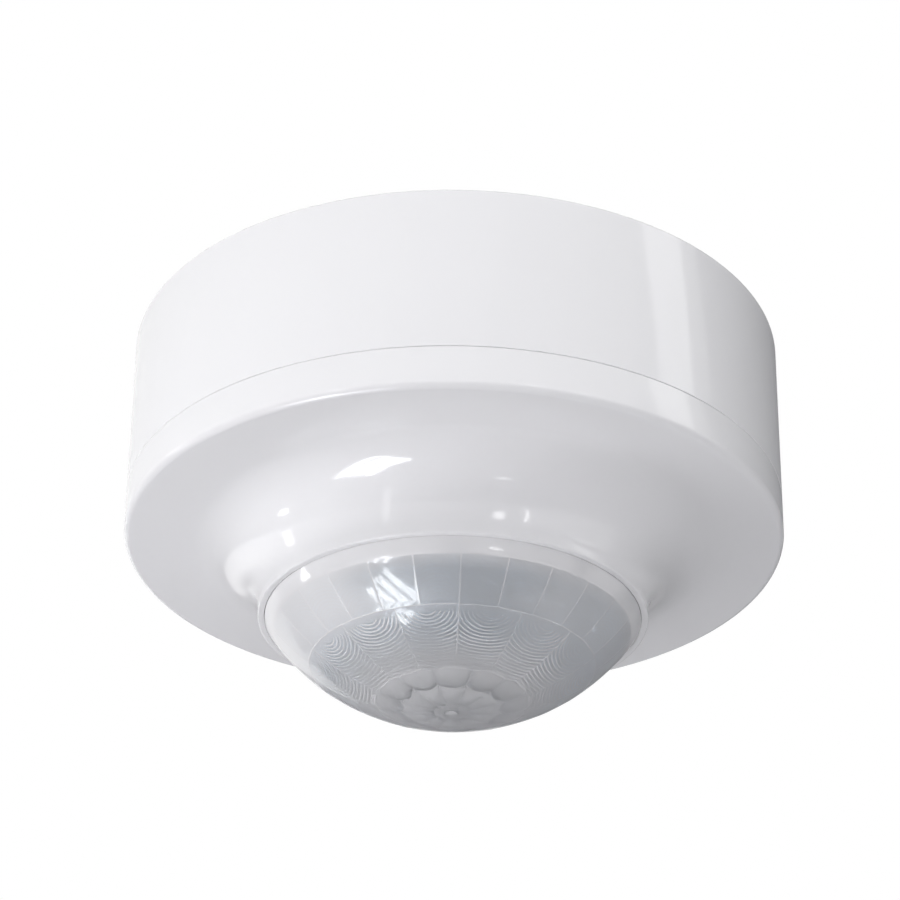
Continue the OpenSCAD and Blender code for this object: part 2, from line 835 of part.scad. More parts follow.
// Lens: a clamped flange, a skirt inside the neck, and a thin dome with facets inside.
module lens() {
    color("gainsboro") hang() {
        rotate_extrude() {
            translate([skirt_r - lens_t, seat_z - flange_t]) square([flange_r - skirt_r + lens_t, flange_t]);
            translate([skirt_r - lens_t, seat_z - nothing]) square([lens_t, lip_z - seat_z + skirt_in]);
            dome_section(dome_r, dome_r - lens_t);
        }
        facet_ribs();
        translate([0, 0, dome_z + dome_r - lens_t / 2]) cylinder(r = pip_r, h = lens_t / 2 + pip_h);
    }
}

// Ring that clamps the lens flange, with three ears for its screws.
module lens_retainer() {
    brim_z = inner_face_z - brim_t;
    color("whitesmoke") hang() difference() {
        union() {
            tube(flange_r, hoop_r, brim_z, brim_t + hoop_h);
            tube(brim_r, hoop_r, brim_z, brim_t);
            for (a = ear_angles) rotate(a) translate([ear_at, 0, brim_z]) cylinder(r = ear_r, h = brim_t);
        }
        for (a = ear_angles) rotate(a) translate([ear_at, 0, brim_z - past])
            cylinder(d = ear_hole_d, h = brim_t + 2 * past);
    }
}

module retainer_screws() {
    color("silver") hang() for (a = ear_angles) rotate(a)
        translate([ear_at, 0, inner_face_z - brim_t]) mirror([0, 0, 1])
            pan_screw(ear_pilot_d - screw_slack, ear_screw_l, ear_screw_head);
}

base_housing();
cable_grommet();
main_board();
main_board_screws();
terminal_block();
terminal_clamps();
terminal_screws();
relay();
film_capacitor();
smoothing_capacitors();
varistor();
fuse();
rectifier_diodes();
resistors();
relay_driver();
component_leads();
solder_joints();
board_pillars();
sensor_board();
sensor_board_screws();
link_strips();
link_pins();
heat_sensor_spacer();
heat_sensor_can();
heat_sensor_window();
heat_sensor_leads();
light_cell();
indicator_lamp();
control_chip();
chip_legs();
sensitivity_trimmer();
time_trimmer();
dusk_trimmer();
sensitivity_knob();
time_knob();
dusk_knob();
front_cover();
lens();
lens_retainer();
retainer_screws();
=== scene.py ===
import math

import bpy
import numpy as np
from mathutils import Matrix, Vector


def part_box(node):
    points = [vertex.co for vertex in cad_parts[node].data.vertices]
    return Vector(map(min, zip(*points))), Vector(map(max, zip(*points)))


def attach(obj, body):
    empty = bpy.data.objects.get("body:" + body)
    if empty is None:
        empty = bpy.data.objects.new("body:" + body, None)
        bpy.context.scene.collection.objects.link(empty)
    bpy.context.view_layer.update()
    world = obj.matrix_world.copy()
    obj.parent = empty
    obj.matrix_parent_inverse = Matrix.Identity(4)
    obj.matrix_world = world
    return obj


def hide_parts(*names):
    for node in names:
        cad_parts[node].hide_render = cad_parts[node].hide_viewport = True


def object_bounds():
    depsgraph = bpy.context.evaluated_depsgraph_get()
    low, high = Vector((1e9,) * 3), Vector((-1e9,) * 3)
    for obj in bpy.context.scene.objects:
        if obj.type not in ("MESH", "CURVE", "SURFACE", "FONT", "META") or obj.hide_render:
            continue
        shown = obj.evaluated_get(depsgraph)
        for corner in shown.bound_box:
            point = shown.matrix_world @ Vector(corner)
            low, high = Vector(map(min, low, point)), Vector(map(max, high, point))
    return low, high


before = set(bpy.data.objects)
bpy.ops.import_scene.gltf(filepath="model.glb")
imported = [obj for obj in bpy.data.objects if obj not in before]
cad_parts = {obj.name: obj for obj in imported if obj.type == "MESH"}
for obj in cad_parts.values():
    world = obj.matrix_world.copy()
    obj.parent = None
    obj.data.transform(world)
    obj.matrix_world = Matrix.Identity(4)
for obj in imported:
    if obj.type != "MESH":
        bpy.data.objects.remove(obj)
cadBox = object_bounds()
mm = 0.001  # lengths below are in millimetres
print("frame loaded with", len(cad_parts), "nodes")


# Hand tools

hand = {"merge": 0.002, "columns": 240, "smooth": 32}  # joining distance, steps of a full spin, degrees


def letGo():
    if bpy.context.mode != "OBJECT":
        bpy.ops.object.mode_set(mode="OBJECT")
    bpy.ops.object.select_all(action="DESELECT")


def hold(piece):
    letGo()
    piece.select_set(True)
    bpy.context.view_layer.objects.active = piece


def openUp(piece, what="VERT"):
    hold(piece)
    bpy.ops.object.mode_set(mode="EDIT")
    bpy.ops.mesh.select_mode(type=what)
    bpy.ops.mesh.select_all(action="DESELECT")


def pickFaces(piece, chosen):  # chosen is a mask over the piece's faces
    openUp(piece, "FACE")
    bpy.ops.object.mode_set(mode="OBJECT")
    piece.data.polygons.foreach_set("select", chosen)
    bpy.ops.object.mode_set(mode="EDIT")


def closeUp():
    bpy.ops.object.mode_set(mode="OBJECT")


def triples(items, what):  # three numbers of each item, in millimetres
    flat = np.empty(len(items) * 3)
    items.foreach_get(what, flat)
    return flat.reshape(-1, 3) / mm


def points(piece):
    return triples(piece.data.vertices, "co")


def middles(piece):  # of the faces
    return triples(piece.data.polygons, "center")


def setPoints(piece, places):
    piece.data.vertices.foreach_set("co", (places * mm).ravel())
    piece.data.update()


def span(node):
    low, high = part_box(node)
    return low / mm, high / mm


def around(place, offsets):
    return [place + offset for offset in offsets]


def ringPlace(radius, angle):  # on a circle about the middle
    return (radius * math.cos(angle), radius * math.sin(angle))


def bend(centre, radius, start, end, steps=6):  # points on an arc, angles in degrees
    angles = np.radians(np.linspace(start, end, steps + 1))
    return [(centre[0] + radius * math.cos(a), centre[1] + radius * math.sin(a)) for a in angles]


def clean(piece):
    openUp(piece)
    bpy.ops.mesh.select_all(action="SELECT")
    bpy.ops.mesh.remove_doubles(threshold=hand["merge"] * mm)
    bpy.ops.mesh.normals_make_consistent(inside=False)
    closeUp()


def turned(name, outline, steps=hand["columns"], sweep=360):  # outline points are (radius, height)
    letGo()
    bpy.ops.mesh.primitive_plane_add(size=mm)
    piece = bpy.context.object
    piece.name = name
    bpy.ops.object.mode_set(mode="EDIT")
    bpy.ops.mesh.select_mode(type="VERT")
    bpy.ops.mesh.merge(type="CENTER")
    bpy.ops.transform.translate(value=(outline[0][0] * mm, 0, outline[0][1] * mm))
    for (r, z), (rNext, zNext) in zip(outline, outline[1:]):
        step = ((rNext - r) * mm, 0, (zNext - z) * mm)
        bpy.ops.mesh.extrude_vertices_move(TRANSFORM_OT_translate={"value": step})
    bpy.ops.mesh.select_all(action="SELECT")
    bpy.ops.mesh.spin(steps=steps, angle=-math.radians(sweep), center=(0, 0, 0), axis=(0, 0, 1))
    closeUp()
    clean(piece)
    return piece


def moved(piece, x=0, y=0, turn=0):
    hold(piece)
    piece.location = (x * mm, y * mm, 0)
    piece.rotation_euler = (0, 0, math.radians(turn))
    bpy.ops.object.transform_apply(location=True, rotation=True, scale=True)
    return piece


def worked(piece, tool, how="DIFFERENCE"):  # cuts or joins with another solid, which is used up
    hold(piece)
    change = piece.modifiers.new(how.lower(), "BOOLEAN")
    change.operation = how
    change.solver = "EXACT"
    change.object = tool
    bpy.ops.object.modifier_apply(modifier=change.name)
    bpy.data.objects.remove(tool, do_unlink=True)


def smooth(piece, angle=hand["smooth"]):
    hold(piece)
    bpy.ops.object.shade_smooth_by_angle(angle=math.radians(angle))


# Shader maths

class Wire:
    def __init__(self, socket):
        self.socket = socket

    def add(self, kind, settings=None, sockets=None, out=0):
        tree = self.socket.id_data
        node = tree.nodes.new(kind)
        for name, value in (settings or {}).items():
            setattr(node, name, value)
        for name, value in (sockets or {}).items():
            if isinstance(value, Wire):
                tree.links.new(value.socket, node.inputs[name])
            else:
                node.inputs[name].default_value = value
        return Wire(node.outputs[out]) if node.outputs else node

    def do(self, how, *others):
        return self.add("ShaderNodeMath", {"operation": how}, dict(enumerate((self,) + others)))

    def __add__(self, other):
        return self.do("ADD", other)

    __radd__ = __add__

    def __sub__(self, other):
        return self.do("SUBTRACT", other)

    def __rsub__(self, other):
        return self.add("ShaderNodeMath", {"operation": "SUBTRACT"}, {0: other, 1: self})

    def __mul__(self, other):
        return self.do("MULTIPLY", other)

    __rmul__ = __mul__

    def __truediv__(self, other):
        return self.do("DIVIDE", other)

    def __neg__(self):
        return self.do("MULTIPLY", -1.0)

    def size(self):
        return self.do("ABSOLUTE")

    def under(self, limit):
        return self.do("LESS_THAN", limit)

    def over(self, limit):
        return self.do("GREATER_THAN", limit)

    def within(self, low, high):
        return self.over(low) * self.under(high)

    def about(self, middle, spread):  # for a noise, whose own middle is a half
        return (self - 0.5) * spread + middle

    def step(self, low, high, start=0.0, end=1.0):  # eased from start to end as this goes from low to high
        return self.add("ShaderNodeMapRange", {"interpolation_type": "SMOOTHSTEP"},
                        {0: self, 1: low, 2: high, 3: start, 4: end})

    def split(self):
        x = self.add("ShaderNodeSeparateXYZ", {}, {0: self})
        return [Wire(socket) for socket in x.socket.node.outputs]

    def noise(self, size, detail=3.0):  # size is that of the lumps, in millimetres
        return self.add("ShaderNodeTexNoise", {}, {"Vector": self, "Scale": 1 / size, "Detail": detail})

    def noises(self, *sizes):
        return [self.noise(size) for size in sizes]

    def cells(self, size, random, **settings):
        sockets = {"Vector": self, "Scale": 1 / size, "Randomness": random}
        return self.add("ShaderNodeTexVoronoi", {"voronoi_dimensions": "2D", **settings}, sockets)

    def mix(self, low, high):  # colours, by this factor
        low, high = [c if isinstance(c, Wire) else (*c, 1.0) for c in (low, high)]
        return self.add("ShaderNodeMix", {"data_type": "RGBA"}, {0: self, 6: low, 7: high}, out=2)


def begin(name):
    finish = bpy.data.materials.new(name)
    finish.use_nodes = True
    finish.node_tree.nodes.clear()
    raw = Wire(finish.node_tree.nodes.new("ShaderNodeTexCoord").outputs["Object"])
    return finish, raw.add("ShaderNodeVectorMath", {"operation": "SCALE"}, {0: raw, "Scale": 1 / mm})


def surface(at, colour, rough, height=None, depth=0.0, **fixed):  # depth of the bump in millimetres
    sockets = {"Base Color": colour if isinstance(colour, Wire) else (*colour, 1.0), "Roughness": rough}
    sockets.update({name.replace("_", " "): value for name, value in fixed.items()})
    if height:
        sockets["Normal"] = at.add("ShaderNodeBump", {}, {"Height": height, "Distance": depth * mm})
    return at.add("ShaderNodeBsdfPrincipled", {}, sockets)


def end(finish, shader):
    shader.add("ShaderNodeOutputMaterial", {}, {"Surface": shader})
    return finish


def dress(piece, *finishes):
    piece.data.materials.clear()
    for finish in finishes:
        piece.data.materials.append(finish)


def tones(colour, *shares):  # shades of one colour
    return [[min(1.0, c * share) for c in colour] for share in shares]


def reach(x, y, place):  # distance from an upright axis
    return ((x - place[0]) * (x - place[0]) + (y - place[1]) * (y - place[1])).do("SQRT")


def outwards(x, y, place):  # distances from a place, along the way out from the middle and across it
    away = math.atan2(place[1], place[0])
    along = (x - place[0]) * math.cos(away) + (y - place[1]) * math.sin(away)
    aside = (y - place[1]) * math.cos(away) - (x - place[0]) * math.sin(away)
    return along, aside


# Camera

shot = {"tilt": 29.02, "roll": 0.68, "lens": 123.64, "sensor": 36.0,
        "distance": 550.0, "aim": (-0.83, 0.0, -17.24)}


def setCamera():
    letGo()
    tilt = math.radians(shot["tilt"])
    turn = Matrix.Rotation(math.pi / 2 + tilt, 4, "X") @ Matrix.Rotation(math.radians(shot["roll"]), 4, "Z")
    forward = Vector((0, math.cos(tilt), math.sin(tilt)))
    place = (Vector(shot["aim"]) - forward * shot["distance"]) * mm
    bpy.ops.object.camera_add(location=place, rotation=turn.to_euler())
    camera = bpy.context.object
    camera.data.lens = shot["lens"]
    camera.data.sensor_width = shot["sensor"]
    bpy.context.scene.camera = camera


setCamera()
print("camera set")


# Base drum

drumLow, drumHigh = span("base_housing")

drum = {
    "radius": drumHigh.x, "depth": -drumLow.z, "wall": 2.4, "back": 2.6, "backRing": 0.45,
    "edge": 0.5, "seamEdge": 0.14, "fillet": 1.2, "over": 0.5,  # over: how far a cutter passes a face
    "groove": 0.5, "grooveHeight": 1.6, "grooveUp": 3.2, "grooveLean": 0.15,
    "posts": ((40, 15), (-40, 15), (26, -36), (-26, -36)), "postRadius": 3.5, "postDepth": 10.0,
    "postFoot": 0.8, "postEase": 0.3, "pilot": 1.3, "pilotDepth": 6.0,
    "slotAt": 39.0, "slotWidth": 4.8, "slotLength": 9.0, "break": 0.3,
    "entry": (0, 44), "entryRadius": 6.3, "recess": 8.2, "recessDepth": 1.2,
    "breakout": 10.0, "breakoutWidth": 0.8, "breakoutDepth": 1.5, "breakoutLean": 0.2}


def drumOutline():
    d = drum
    outer, bore, deep = d["radius"], d["radius"] - d["wall"], d["depth"]
    edge, seam, fillet, back, lean = d["edge"], d["seamEdge"], d["fillet"], d["back"], d["grooveLean"]
    grooveLow = -deep + d["grooveUp"] - d["grooveHeight"] / 2
    grooveHigh = grooveLow + d["grooveHeight"]
    return ([(0, 0), (outer * d["backRing"], 0)]
            + bend((outer - edge, -edge), edge, 90, 0)
            + bend((outer - seam, seam - deep), seam, 0, -90)
            + bend((bore + seam, seam - deep), seam, 270, 180)
            + [(bore, grooveLow), (bore + d["groove"], grooveLow + lean)]
            + [(bore + d["groove"], grooveHigh - lean), (bore, grooveHigh)]
            + bend((bore - fillet, -back - fillet), fillet, 0, 90)
            + [(outer * d["backRing"], -back), (0, -back)])


def boardPost(x, y):
    d = drum
    r, foot, back, tip, ease = d["postRadius"], d["postFoot"], d["back"], -d["postDepth"], d["postEase"]
    hole = d["pilot"]
    outline = ([(0, -back / 2), (r + foot, -back / 2)]
               + bend((r + foot, -back - foot), foot, 90, 180)
               + [(r, tip + ease), (r - ease, tip), (hole + ease, tip), (hole, tip + ease)]
               + [(hole, tip + d["pilotDepth"]), (0, tip + d["pilotDepth"])])
    return moved(turned("post", outline, steps=48), x, y)


def slotCutter(x):  # a round cutter drawn apart, with its ends opened
    d = drum
    r, over, ease = d["slotWidth"] / 2, d["over"], d["break"] + d["over"]
    outline = [(0, over), (r + ease, over), (r, -d["break"]), (r, d["break"] - d["back"]),
               (r + ease, -d["back"] - over), (0, -d["back"] - over)]
    cutter = turned("slotCutter", outline, steps=50)
    places = points(cutter)
    places[:, 0] += np.sign(np.round(places[:, 0], 4)) * (d["slotLength"] - d["slotWidth"]) / 2
    setPoints(cutter, places)
    return moved(cutter, x)


def entryCutter():
    d = drum
    over = d["over"]
    outline = [(0, over), (d["recess"] + over, over), (d["recess"], 0), (d["recess"], -d["recessDepth"]),
               (d["entryRadius"], -d["recessDepth"]), (d["entryRadius"], -d["back"]),
               (d["entryRadius"] + over, -d["back"] - over), (0, -d["back"] - over)]
    return moved(turned("entryCutter", outline, steps=72), *d["entry"])


def breakoutCutter():
    d = drum
    half, over, lean = d["breakoutWidth"] / 2, d["over"], d["breakoutLean"]
    r, deep = d["breakout"], d["breakoutDepth"]
    outline = [(r - half, over), (r + half, over), (r + half - lean, -deep), (r - half + lean, -deep),
               (r - half, over)]
    return turned("breakoutCutter", outline, steps=120)


def makeDrum():
    piece = turned("drumShell", drumOutline())
    for x, y in drum["posts"]:
        worked(piece, boardPost(x, y), "UNION")
    for side in (-1, 1):
        worked(piece, slotCutter(side * drum["slotAt"]))
    worked(piece, entryCutter())
    worked(piece, breakoutCutter())
    smooth(piece)
    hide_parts("base_housing")
    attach(piece, "base")
    return piece


drumShell = makeDrum()
print("drum made")


# Front cover

coverLow, coverHigh = span("front_cover")

cover = {
    "radius": coverHigh.x, "seamGap": 0.1, "face": 37.5, "lip": -coverLow.z,
    "edge": 1.2, "seamEdge": 0.14, "thick": 2.2, "flare": 12.0, "lipRadius": 33.7, "lipEdge": 0.28,
    "bore": 33.0, "mouth": 32.5, "mouthDepth": 0.7, "mouthEdge": 0.2, "mouthSlope": 0.5,
    "seat": 39.5, "seatRadius": 37.5,
    "spigot": 54.75, "spigotInner": 53.25, "spigotTop": -coverHigh.z, "spigotFoot": 1.0, "ease": 0.3,
    "beads": 4, "beadStart": 45, "beadSweep": 16.0, "beadOut": 0.25, "beadDepth": 26.8,
    "beadHeight": 1.0, "beadRoot": 0.7,
    "pilots": (30, 150, 270), "pilotAt": 42.5, "pilot": 0.9, "pilotDepth": 1.3, "pilotLead": 0.2,
    "pilotTip": 0.4, "notch": (9.0, 2.0, 1.1), "notchEdge": 0.4, "over": 0.5,
    "marks": 6, "markAt": 48.0, "mark": 2.0, "markDepth": 0.15, "markEdge": 0.05}
cover["seam"] = drum["depth"] + cover["seamGap"]
cover["inner"] = cover["thick"] - cover["face"]  # height of the inside of the face


def coverOutline():
    c = cover
    edge, seam, ease, inner = c["edge"], c["seamEdge"], c["ease"], c["inner"]
    lipEdge, mouthEdge, foot = c["lipEdge"], c["mouthEdge"], c["spigotFoot"]
    mouthTop = c["mouthDepth"] - c["lip"]
    start = (c["radius"] - seam, -c["seam"])
    return ([start]
            + bend((c["radius"] - seam, -c["seam"] - seam), seam, 80, 0)
            + bend((c["radius"] - edge, edge - c["face"]), edge, 0, -90, steps=10)
            + bend((c["lipRadius"] + c["flare"], -c["face"] - c["flare"]), c["flare"], 90, 180, steps=36)
            + bend((c["lipRadius"] - lipEdge, lipEdge - c["lip"]), lipEdge, 0, -90, steps=5)
            + bend((c["mouth"] + mouthEdge, mouthEdge - c["lip"]), mouthEdge, -90, -180, steps=4)
            + [(c["mouth"], mouthTop), (c["bore"], mouthTop + c["mouthSlope"])]
            + [(c["bore"], -c["seat"]), (c["seatRadius"], -c["seat"])]
            + [(c["seatRadius"], inner - ease), (c["seatRadius"] + ease, inner)]
            + bend((c["spigotInner"] - foot, inner + foot), foot, -90, 0)
            + [(c["spigotInner"], -c["spigotTop"] - ease), (c["spigotInner"] + ease, -c["spigotTop"])]
            + [(c["spigot"] - ease, -c["spigotTop"]), (c["spigot"], -c["spigotTop"] - ease)]
            + [(c["spigot"], -c["seam"]), start])


def snapBead(turn):
    c = cover
    half, out = c["beadHeight"] / 2, c["beadOut"]
    root, z = c["spigot"] - c["beadRoot"], -c["beadDepth"]
    outline = [(root, z - half), (c["spigot"], z - half), (c["spigot"] + out, z - half / 3),
               (c["spigot"] + out, z + half / 3), (c["spigot"], z + half), (root, z + half),
               (root, z - half)]
    bead = turned("bead", outline, steps=16, sweep=c["beadSweep"])
    openUp(bead, "EDGE")
    bpy.ops.mesh.select_non_manifold()
    bpy.ops.mesh.edge_face_add()
    closeUp()
    clean(bead)
    return moved(bead, turn=turn - c["beadSweep"] / 2)


def screwPilot(turn):
    c = cover
    over, lead, inner, foot = c["over"], c["pilotLead"], c["inner"], c["inner"] - c["pilotDepth"]
    outline = [(0, inner + over), (c["pilot"] + lead + over, inner + over), (c["pilot"], inner - lead),
               (c["pilot"], foot), (0, foot - c["pilotTip"])]
    return moved(turned("pilot", outline, steps=24), *ringPlace(c["pilotAt"], math.radians(-turn)))


def pinMark(angle):  # a shallow round print left by an ejector pin
    c = cover
    radius, edge, foot = c["mark"], c["markEdge"], c["inner"] - c["markDepth"]
    outline = [(0, c["inner"] + c["over"]), (radius, c["inner"] + c["over"]), (radius, foot + edge),
               (radius - edge, foot), (0, foot)]
    return moved(turned("mark", outline, steps=40), *ringPlace(c["markAt"], angle))


def pryNotch():
    c = cover
    wide, deep, high = c["notch"]
    letGo()
    bpy.ops.mesh.primitive_cube_add(size=mm, scale=(wide, 2 * deep, 2 * high),
                                    location=(0, c["radius"] * mm, -drum["depth"] * mm))
    cutter = bpy.context.object
    bpy.ops.object.transform_apply(location=True, rotation=True, scale=True)
    bpy.ops.object.mode_set(mode="EDIT")
    bpy.ops.mesh.bevel(offset=c["notchEdge"] * mm, segments=3, affect="EDGES")
    closeUp()
    return cutter


def makeCover():
    piece = turned("coverShell", coverOutline())
    for k in range(cover["beads"]):
        worked(piece, snapBead(cover["beadStart"] + k * 360 / cover["beads"]), "UNION")
    for turn in cover["pilots"]:
        worked(piece, screwPilot(turn))
    worked(piece, pryNotch())
    for k in range(cover["marks"]):
        worked(piece, pinMark(math.tau * k / cover["marks"]))
    smooth(piece)
    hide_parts("front_cover")
    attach(piece, "front")
    return piece


coverShell = makeCover()
print("cover made")


# Lens

lensHigh = span("lens")[1]

dome = {
    "rim": 32.46, "top": cover["lip"], "height": 17.0, "thick": 0.8,
    "skirt": 32.42, "skirtFoot": 0.4, "skirtEnd": 0.3, "skirtFold": 0.1, "skirtEase": 0.3,
    "flange": lensHigh.x, "flangeTop": -lensHigh.z, "flangeEdge": 0.2, "seat": cover["seat"],
    "pip": 1.1, "pipOut": 0.14, "pipShoulder": 0.8, "pipEdges": (0.1, 0.35),
    "pipRim": 0.25, "poleRow": 1.5, "columns": 336, "rimRows": 3, "rows": (8, 12, 9, 9),
    "rings": (51.3, 38.5, 18.9, 11.8, 4.0), "counts": (24, 14, 12, 12),  # polar angles, facets
    "turn": 2.3, "starts": (0, 0, 12, 12), "small": 2,  # columns to a ring's first edge, first small ring
    "scallop": 1.8, "scallopReach": (6, 1.5), "arch": 1.3, "archReach": (3, 9),
    "ridge": 0.12, "ridgeOut": 0.02, "flat": (0.02, 0.02, -0.09, -0.09), "smooth": 14,
    "skinDepth": 1.2, "skinOver": 0.1, "edgeKept": 0.01, "nudge": 1e-6}
dome["radius"] = (dome["rim"] ** 2 + dome["height"] ** 2) / (2 * dome["height"])
dome["centre"] = dome["top"] + dome["height"] - dome["radius"]
dome["edge"] = math.degrees(math.asin(dome["rim"] / dome["radius"]))
dome["upperFoot"], dome["smallTop"], dome["pipRing"] = [dome["rings"][k] for k in (1, dome["small"], -1)]


def domePoint(radius, angle):  # on a sphere about the dome's centre, polar angle from straight down
    a = math.radians(angle)
    return (radius * math.sin(a), -dome["centre"] - radius * math.cos(a))


def domeAngles():  # polar angles of the rows, from the rim to the pip
    angles = list(np.linspace(dome["edge"], dome["rings"][0], dome["rimRows"] + 1))
    for high, low, rows in zip(dome["rings"], dome["rings"][1:], dome["rows"]):
        angles += list(np.linspace(high, low, rows + 1))[1:]
    return angles


def lensOutline():
    d = dome
    inner, edge, foot, ease = d["radius"] - d["thick"], d["flangeEdge"], d["skirtFoot"], d["skirtEase"]
    pipAngle = math.degrees(math.asin(d["pip"] / d["radius"]))
    nadir = -d["centre"] - d["radius"]
    skirtInner = d["skirt"] - d["thick"]
    outside = [domePoint(d["radius"], a) for a in domeAngles()]
    inside = [domePoint(inner, a) for a in reversed(domeAngles()[d["rimRows"]:])]
    start = (d["flange"] - edge, -d["flangeTop"])
    return ([start, (d["flange"], -d["flangeTop"] - edge), (d["flange"], edge - d["seat"])]
            + [(d["flange"] - edge, -d["seat"]), (d["skirt"] + foot, -d["seat"])]
            + [(d["skirt"], -d["seat"] - foot), (d["skirt"], d["skirtEnd"] - d["top"])]
            + outside
            + [domePoint(d["radius"], pipAngle + d["pipRim"]), domePoint(d["radius"], pipAngle)]
            + [(d["pip"] - d["pipEdges"][0], nadir - d["pipOut"] * d["pipShoulder"])]
            + [(d["pip"] - d["pipEdges"][1], nadir - d["pipOut"]), (0, nadir - d["pipOut"])]
            + [domePoint(inner, 0), domePoint(inner, d["poleRow"])]
            + inside
            + [(skirtInner, -d["top"] - d["skirtFold"]), (skirtInner, -d["flangeTop"] - ease)]
            + [(skirtInner + ease, -d["flangeTop"]), start])


def polar(places):  # polar angle, angle round from the near side, and distance from the dome's centre
    x, y, z = places.T
    down = -z - dome["centre"]
    theta = np.degrees(np.arctan2(np.hypot(x, y), down))
    phi = np.degrees(np.arctan2(x, -y))
    return theta, phi, np.sqrt(x * x + y * y + down * down)


def fromPolar(theta, phi, distance):
    t, p = np.radians(theta), np.radians(phi)
    return np.stack([distance * np.sin(t) * np.sin(p), -distance * np.sin(t) * np.cos(p),
                     -dome["centre"] - distance * np.cos(t)], axis=1)


def cellPart(phi, ring):  # which cell round the ring, and how far across it from 0 to 1
    count = dome["counts"][ring]
    first = dome["turn"] + dome["starts"][ring] * 360 / dome["columns"]
    turns = (phi - first) / 360 * count
    whole = np.floor(turns + dome["nudge"])
    return whole.astype(int) % count, turns - whole


def ringSpans():  # number, top and foot of each ring of facets
    return zip(range(len(dome["counts"])), dome["rings"], dome["rings"][1:])


def onDome(distance):
    deep, high = dome["radius"] - dome["thick"] * dome["skinDepth"], dome["radius"] + dome["skinOver"]
    return (distance > deep) & (distance < high)


def shapeCells(piece):  # scallops and swells the small facets, and flattens the upper ones a little
    d = dome
    places = points(piece)
    theta, phi, distance = polar(places)
    free = onDome(distance) & (theta < d["edge"] - d["edgeKept"])
    across = 2 * np.abs(cellPart(phi, d["small"])[1] - 0.5)
    low, high = d["rings"][d["small"] + 1], d["smallTop"]
    nearLow = np.interp(theta, [low - d["scallopReach"][0], low, high - d["scallopReach"][1]], [0, 1, 0])
    nearHigh = np.interp(theta, [low + d["archReach"][0], high, high + d["archReach"][1]], [0, 1, 0])
    newTheta = theta + d["scallop"] * across ** 2 * nearLow + d["arch"] * (1 - across ** 2) * nearHigh
    sink = np.zeros(len(places))
    for ring, top, foot in ringSpans():
        inRing = (theta <= top) & (theta >= foot)
        u = cellPart(phi, ring)[1]
        v = (theta - foot) / (top - foot)
        sink[inRing] = (d["flat"][ring] * (1 - (2 * u - 1) ** 2) * (1 - (2 * v - 1) ** 2))[inRing]
    places[free] = fromPolar(newTheta, phi, distance - sink)[free]
    setPoints(piece, places)


def facetMasks(piece):  # one mask of outer faces for each facet, taken before the rings are scalloped
    theta, phi, distance = polar(middles(piece))
    outer = distance > dome["radius"] - dome["thick"] / 2
    masks = []
    for ring, top, foot in ringSpans():
        cell = cellPart(phi, ring)[0]
        inRing = outer & (theta < top) & (theta > foot)
        masks += [inRing & (cell == k) for k in range(dome["counts"][ring])]
    return masks


def markCells(piece):  # keeps, at each corner of a face, how far up and across its facet it is
    mesh = piece.data
    theta, phi = polar(points(piece))[:2]
    corner = np.empty(len(mesh.loops), int)
    mesh.loops.foreach_get("vertex_index", corner)
    sides = np.empty(len(mesh.polygons), int)
    mesh.polygons.foreach_get("loop_total", sides)
    owner = np.repeat(polar(middles(piece))[0], sides)
    marks = np.zeros((len(corner), 4))
    for ring, top, foot in ringSpans():
        inRing = (owner < top) & (owner > foot)
        marks[inRing, 0] = ring >= dome["small"]
        marks[inRing, 1] = ((theta[corner] - foot) / (top - foot))[inRing]
        marks[inRing, 2] = np.abs(2 * cellPart(phi[corner], ring)[1] - 1)[inRing]
    mesh.attributes.new("cellMarks", "FLOAT_COLOR", "CORNER").data.foreach_set("color", marks.ravel())


def makeLens():
    piece = turned("lensDome", lensOutline(), dome["columns"])
    moved(piece, turn=(dome["turn"] - 90) % (360 / dome["columns"]))
    masks = facetMasks(piece)
    markCells(piece)
    shapeCells(piece)
    dress(piece, lensFinish("lensBorder", True), lensFinish("lensFacet", False))
    for mask in masks:  # each inset adds faces after those that the masks were taken from
        full = np.zeros(len(piece.data.polygons), bool)
        full[:len(mask)] = mask
        pickFaces(piece, full)
        bpy.ops.mesh.inset(thickness=dome["ridge"] * mm, depth=-dome["ridgeOut"] * mm, use_even_offset=True)
        piece.active_material_index = 1
        bpy.ops.object.material_slot_assign()
        closeUp()
    smooth(piece, dome["smooth"])
    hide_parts("lens")
    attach(piece, "front")
    return piece


def domeWires(at):  # polar angle and angle round, in degrees
    x, y, z = at.split()
    down = -z - dome["centre"]
    theta = (x * x + y * y).do("SQRT").do("ARCTAN2", down) * math.degrees(1)
    phi = x.do("ARCTAN2", -y) * math.degrees(1)
    return theta, phi


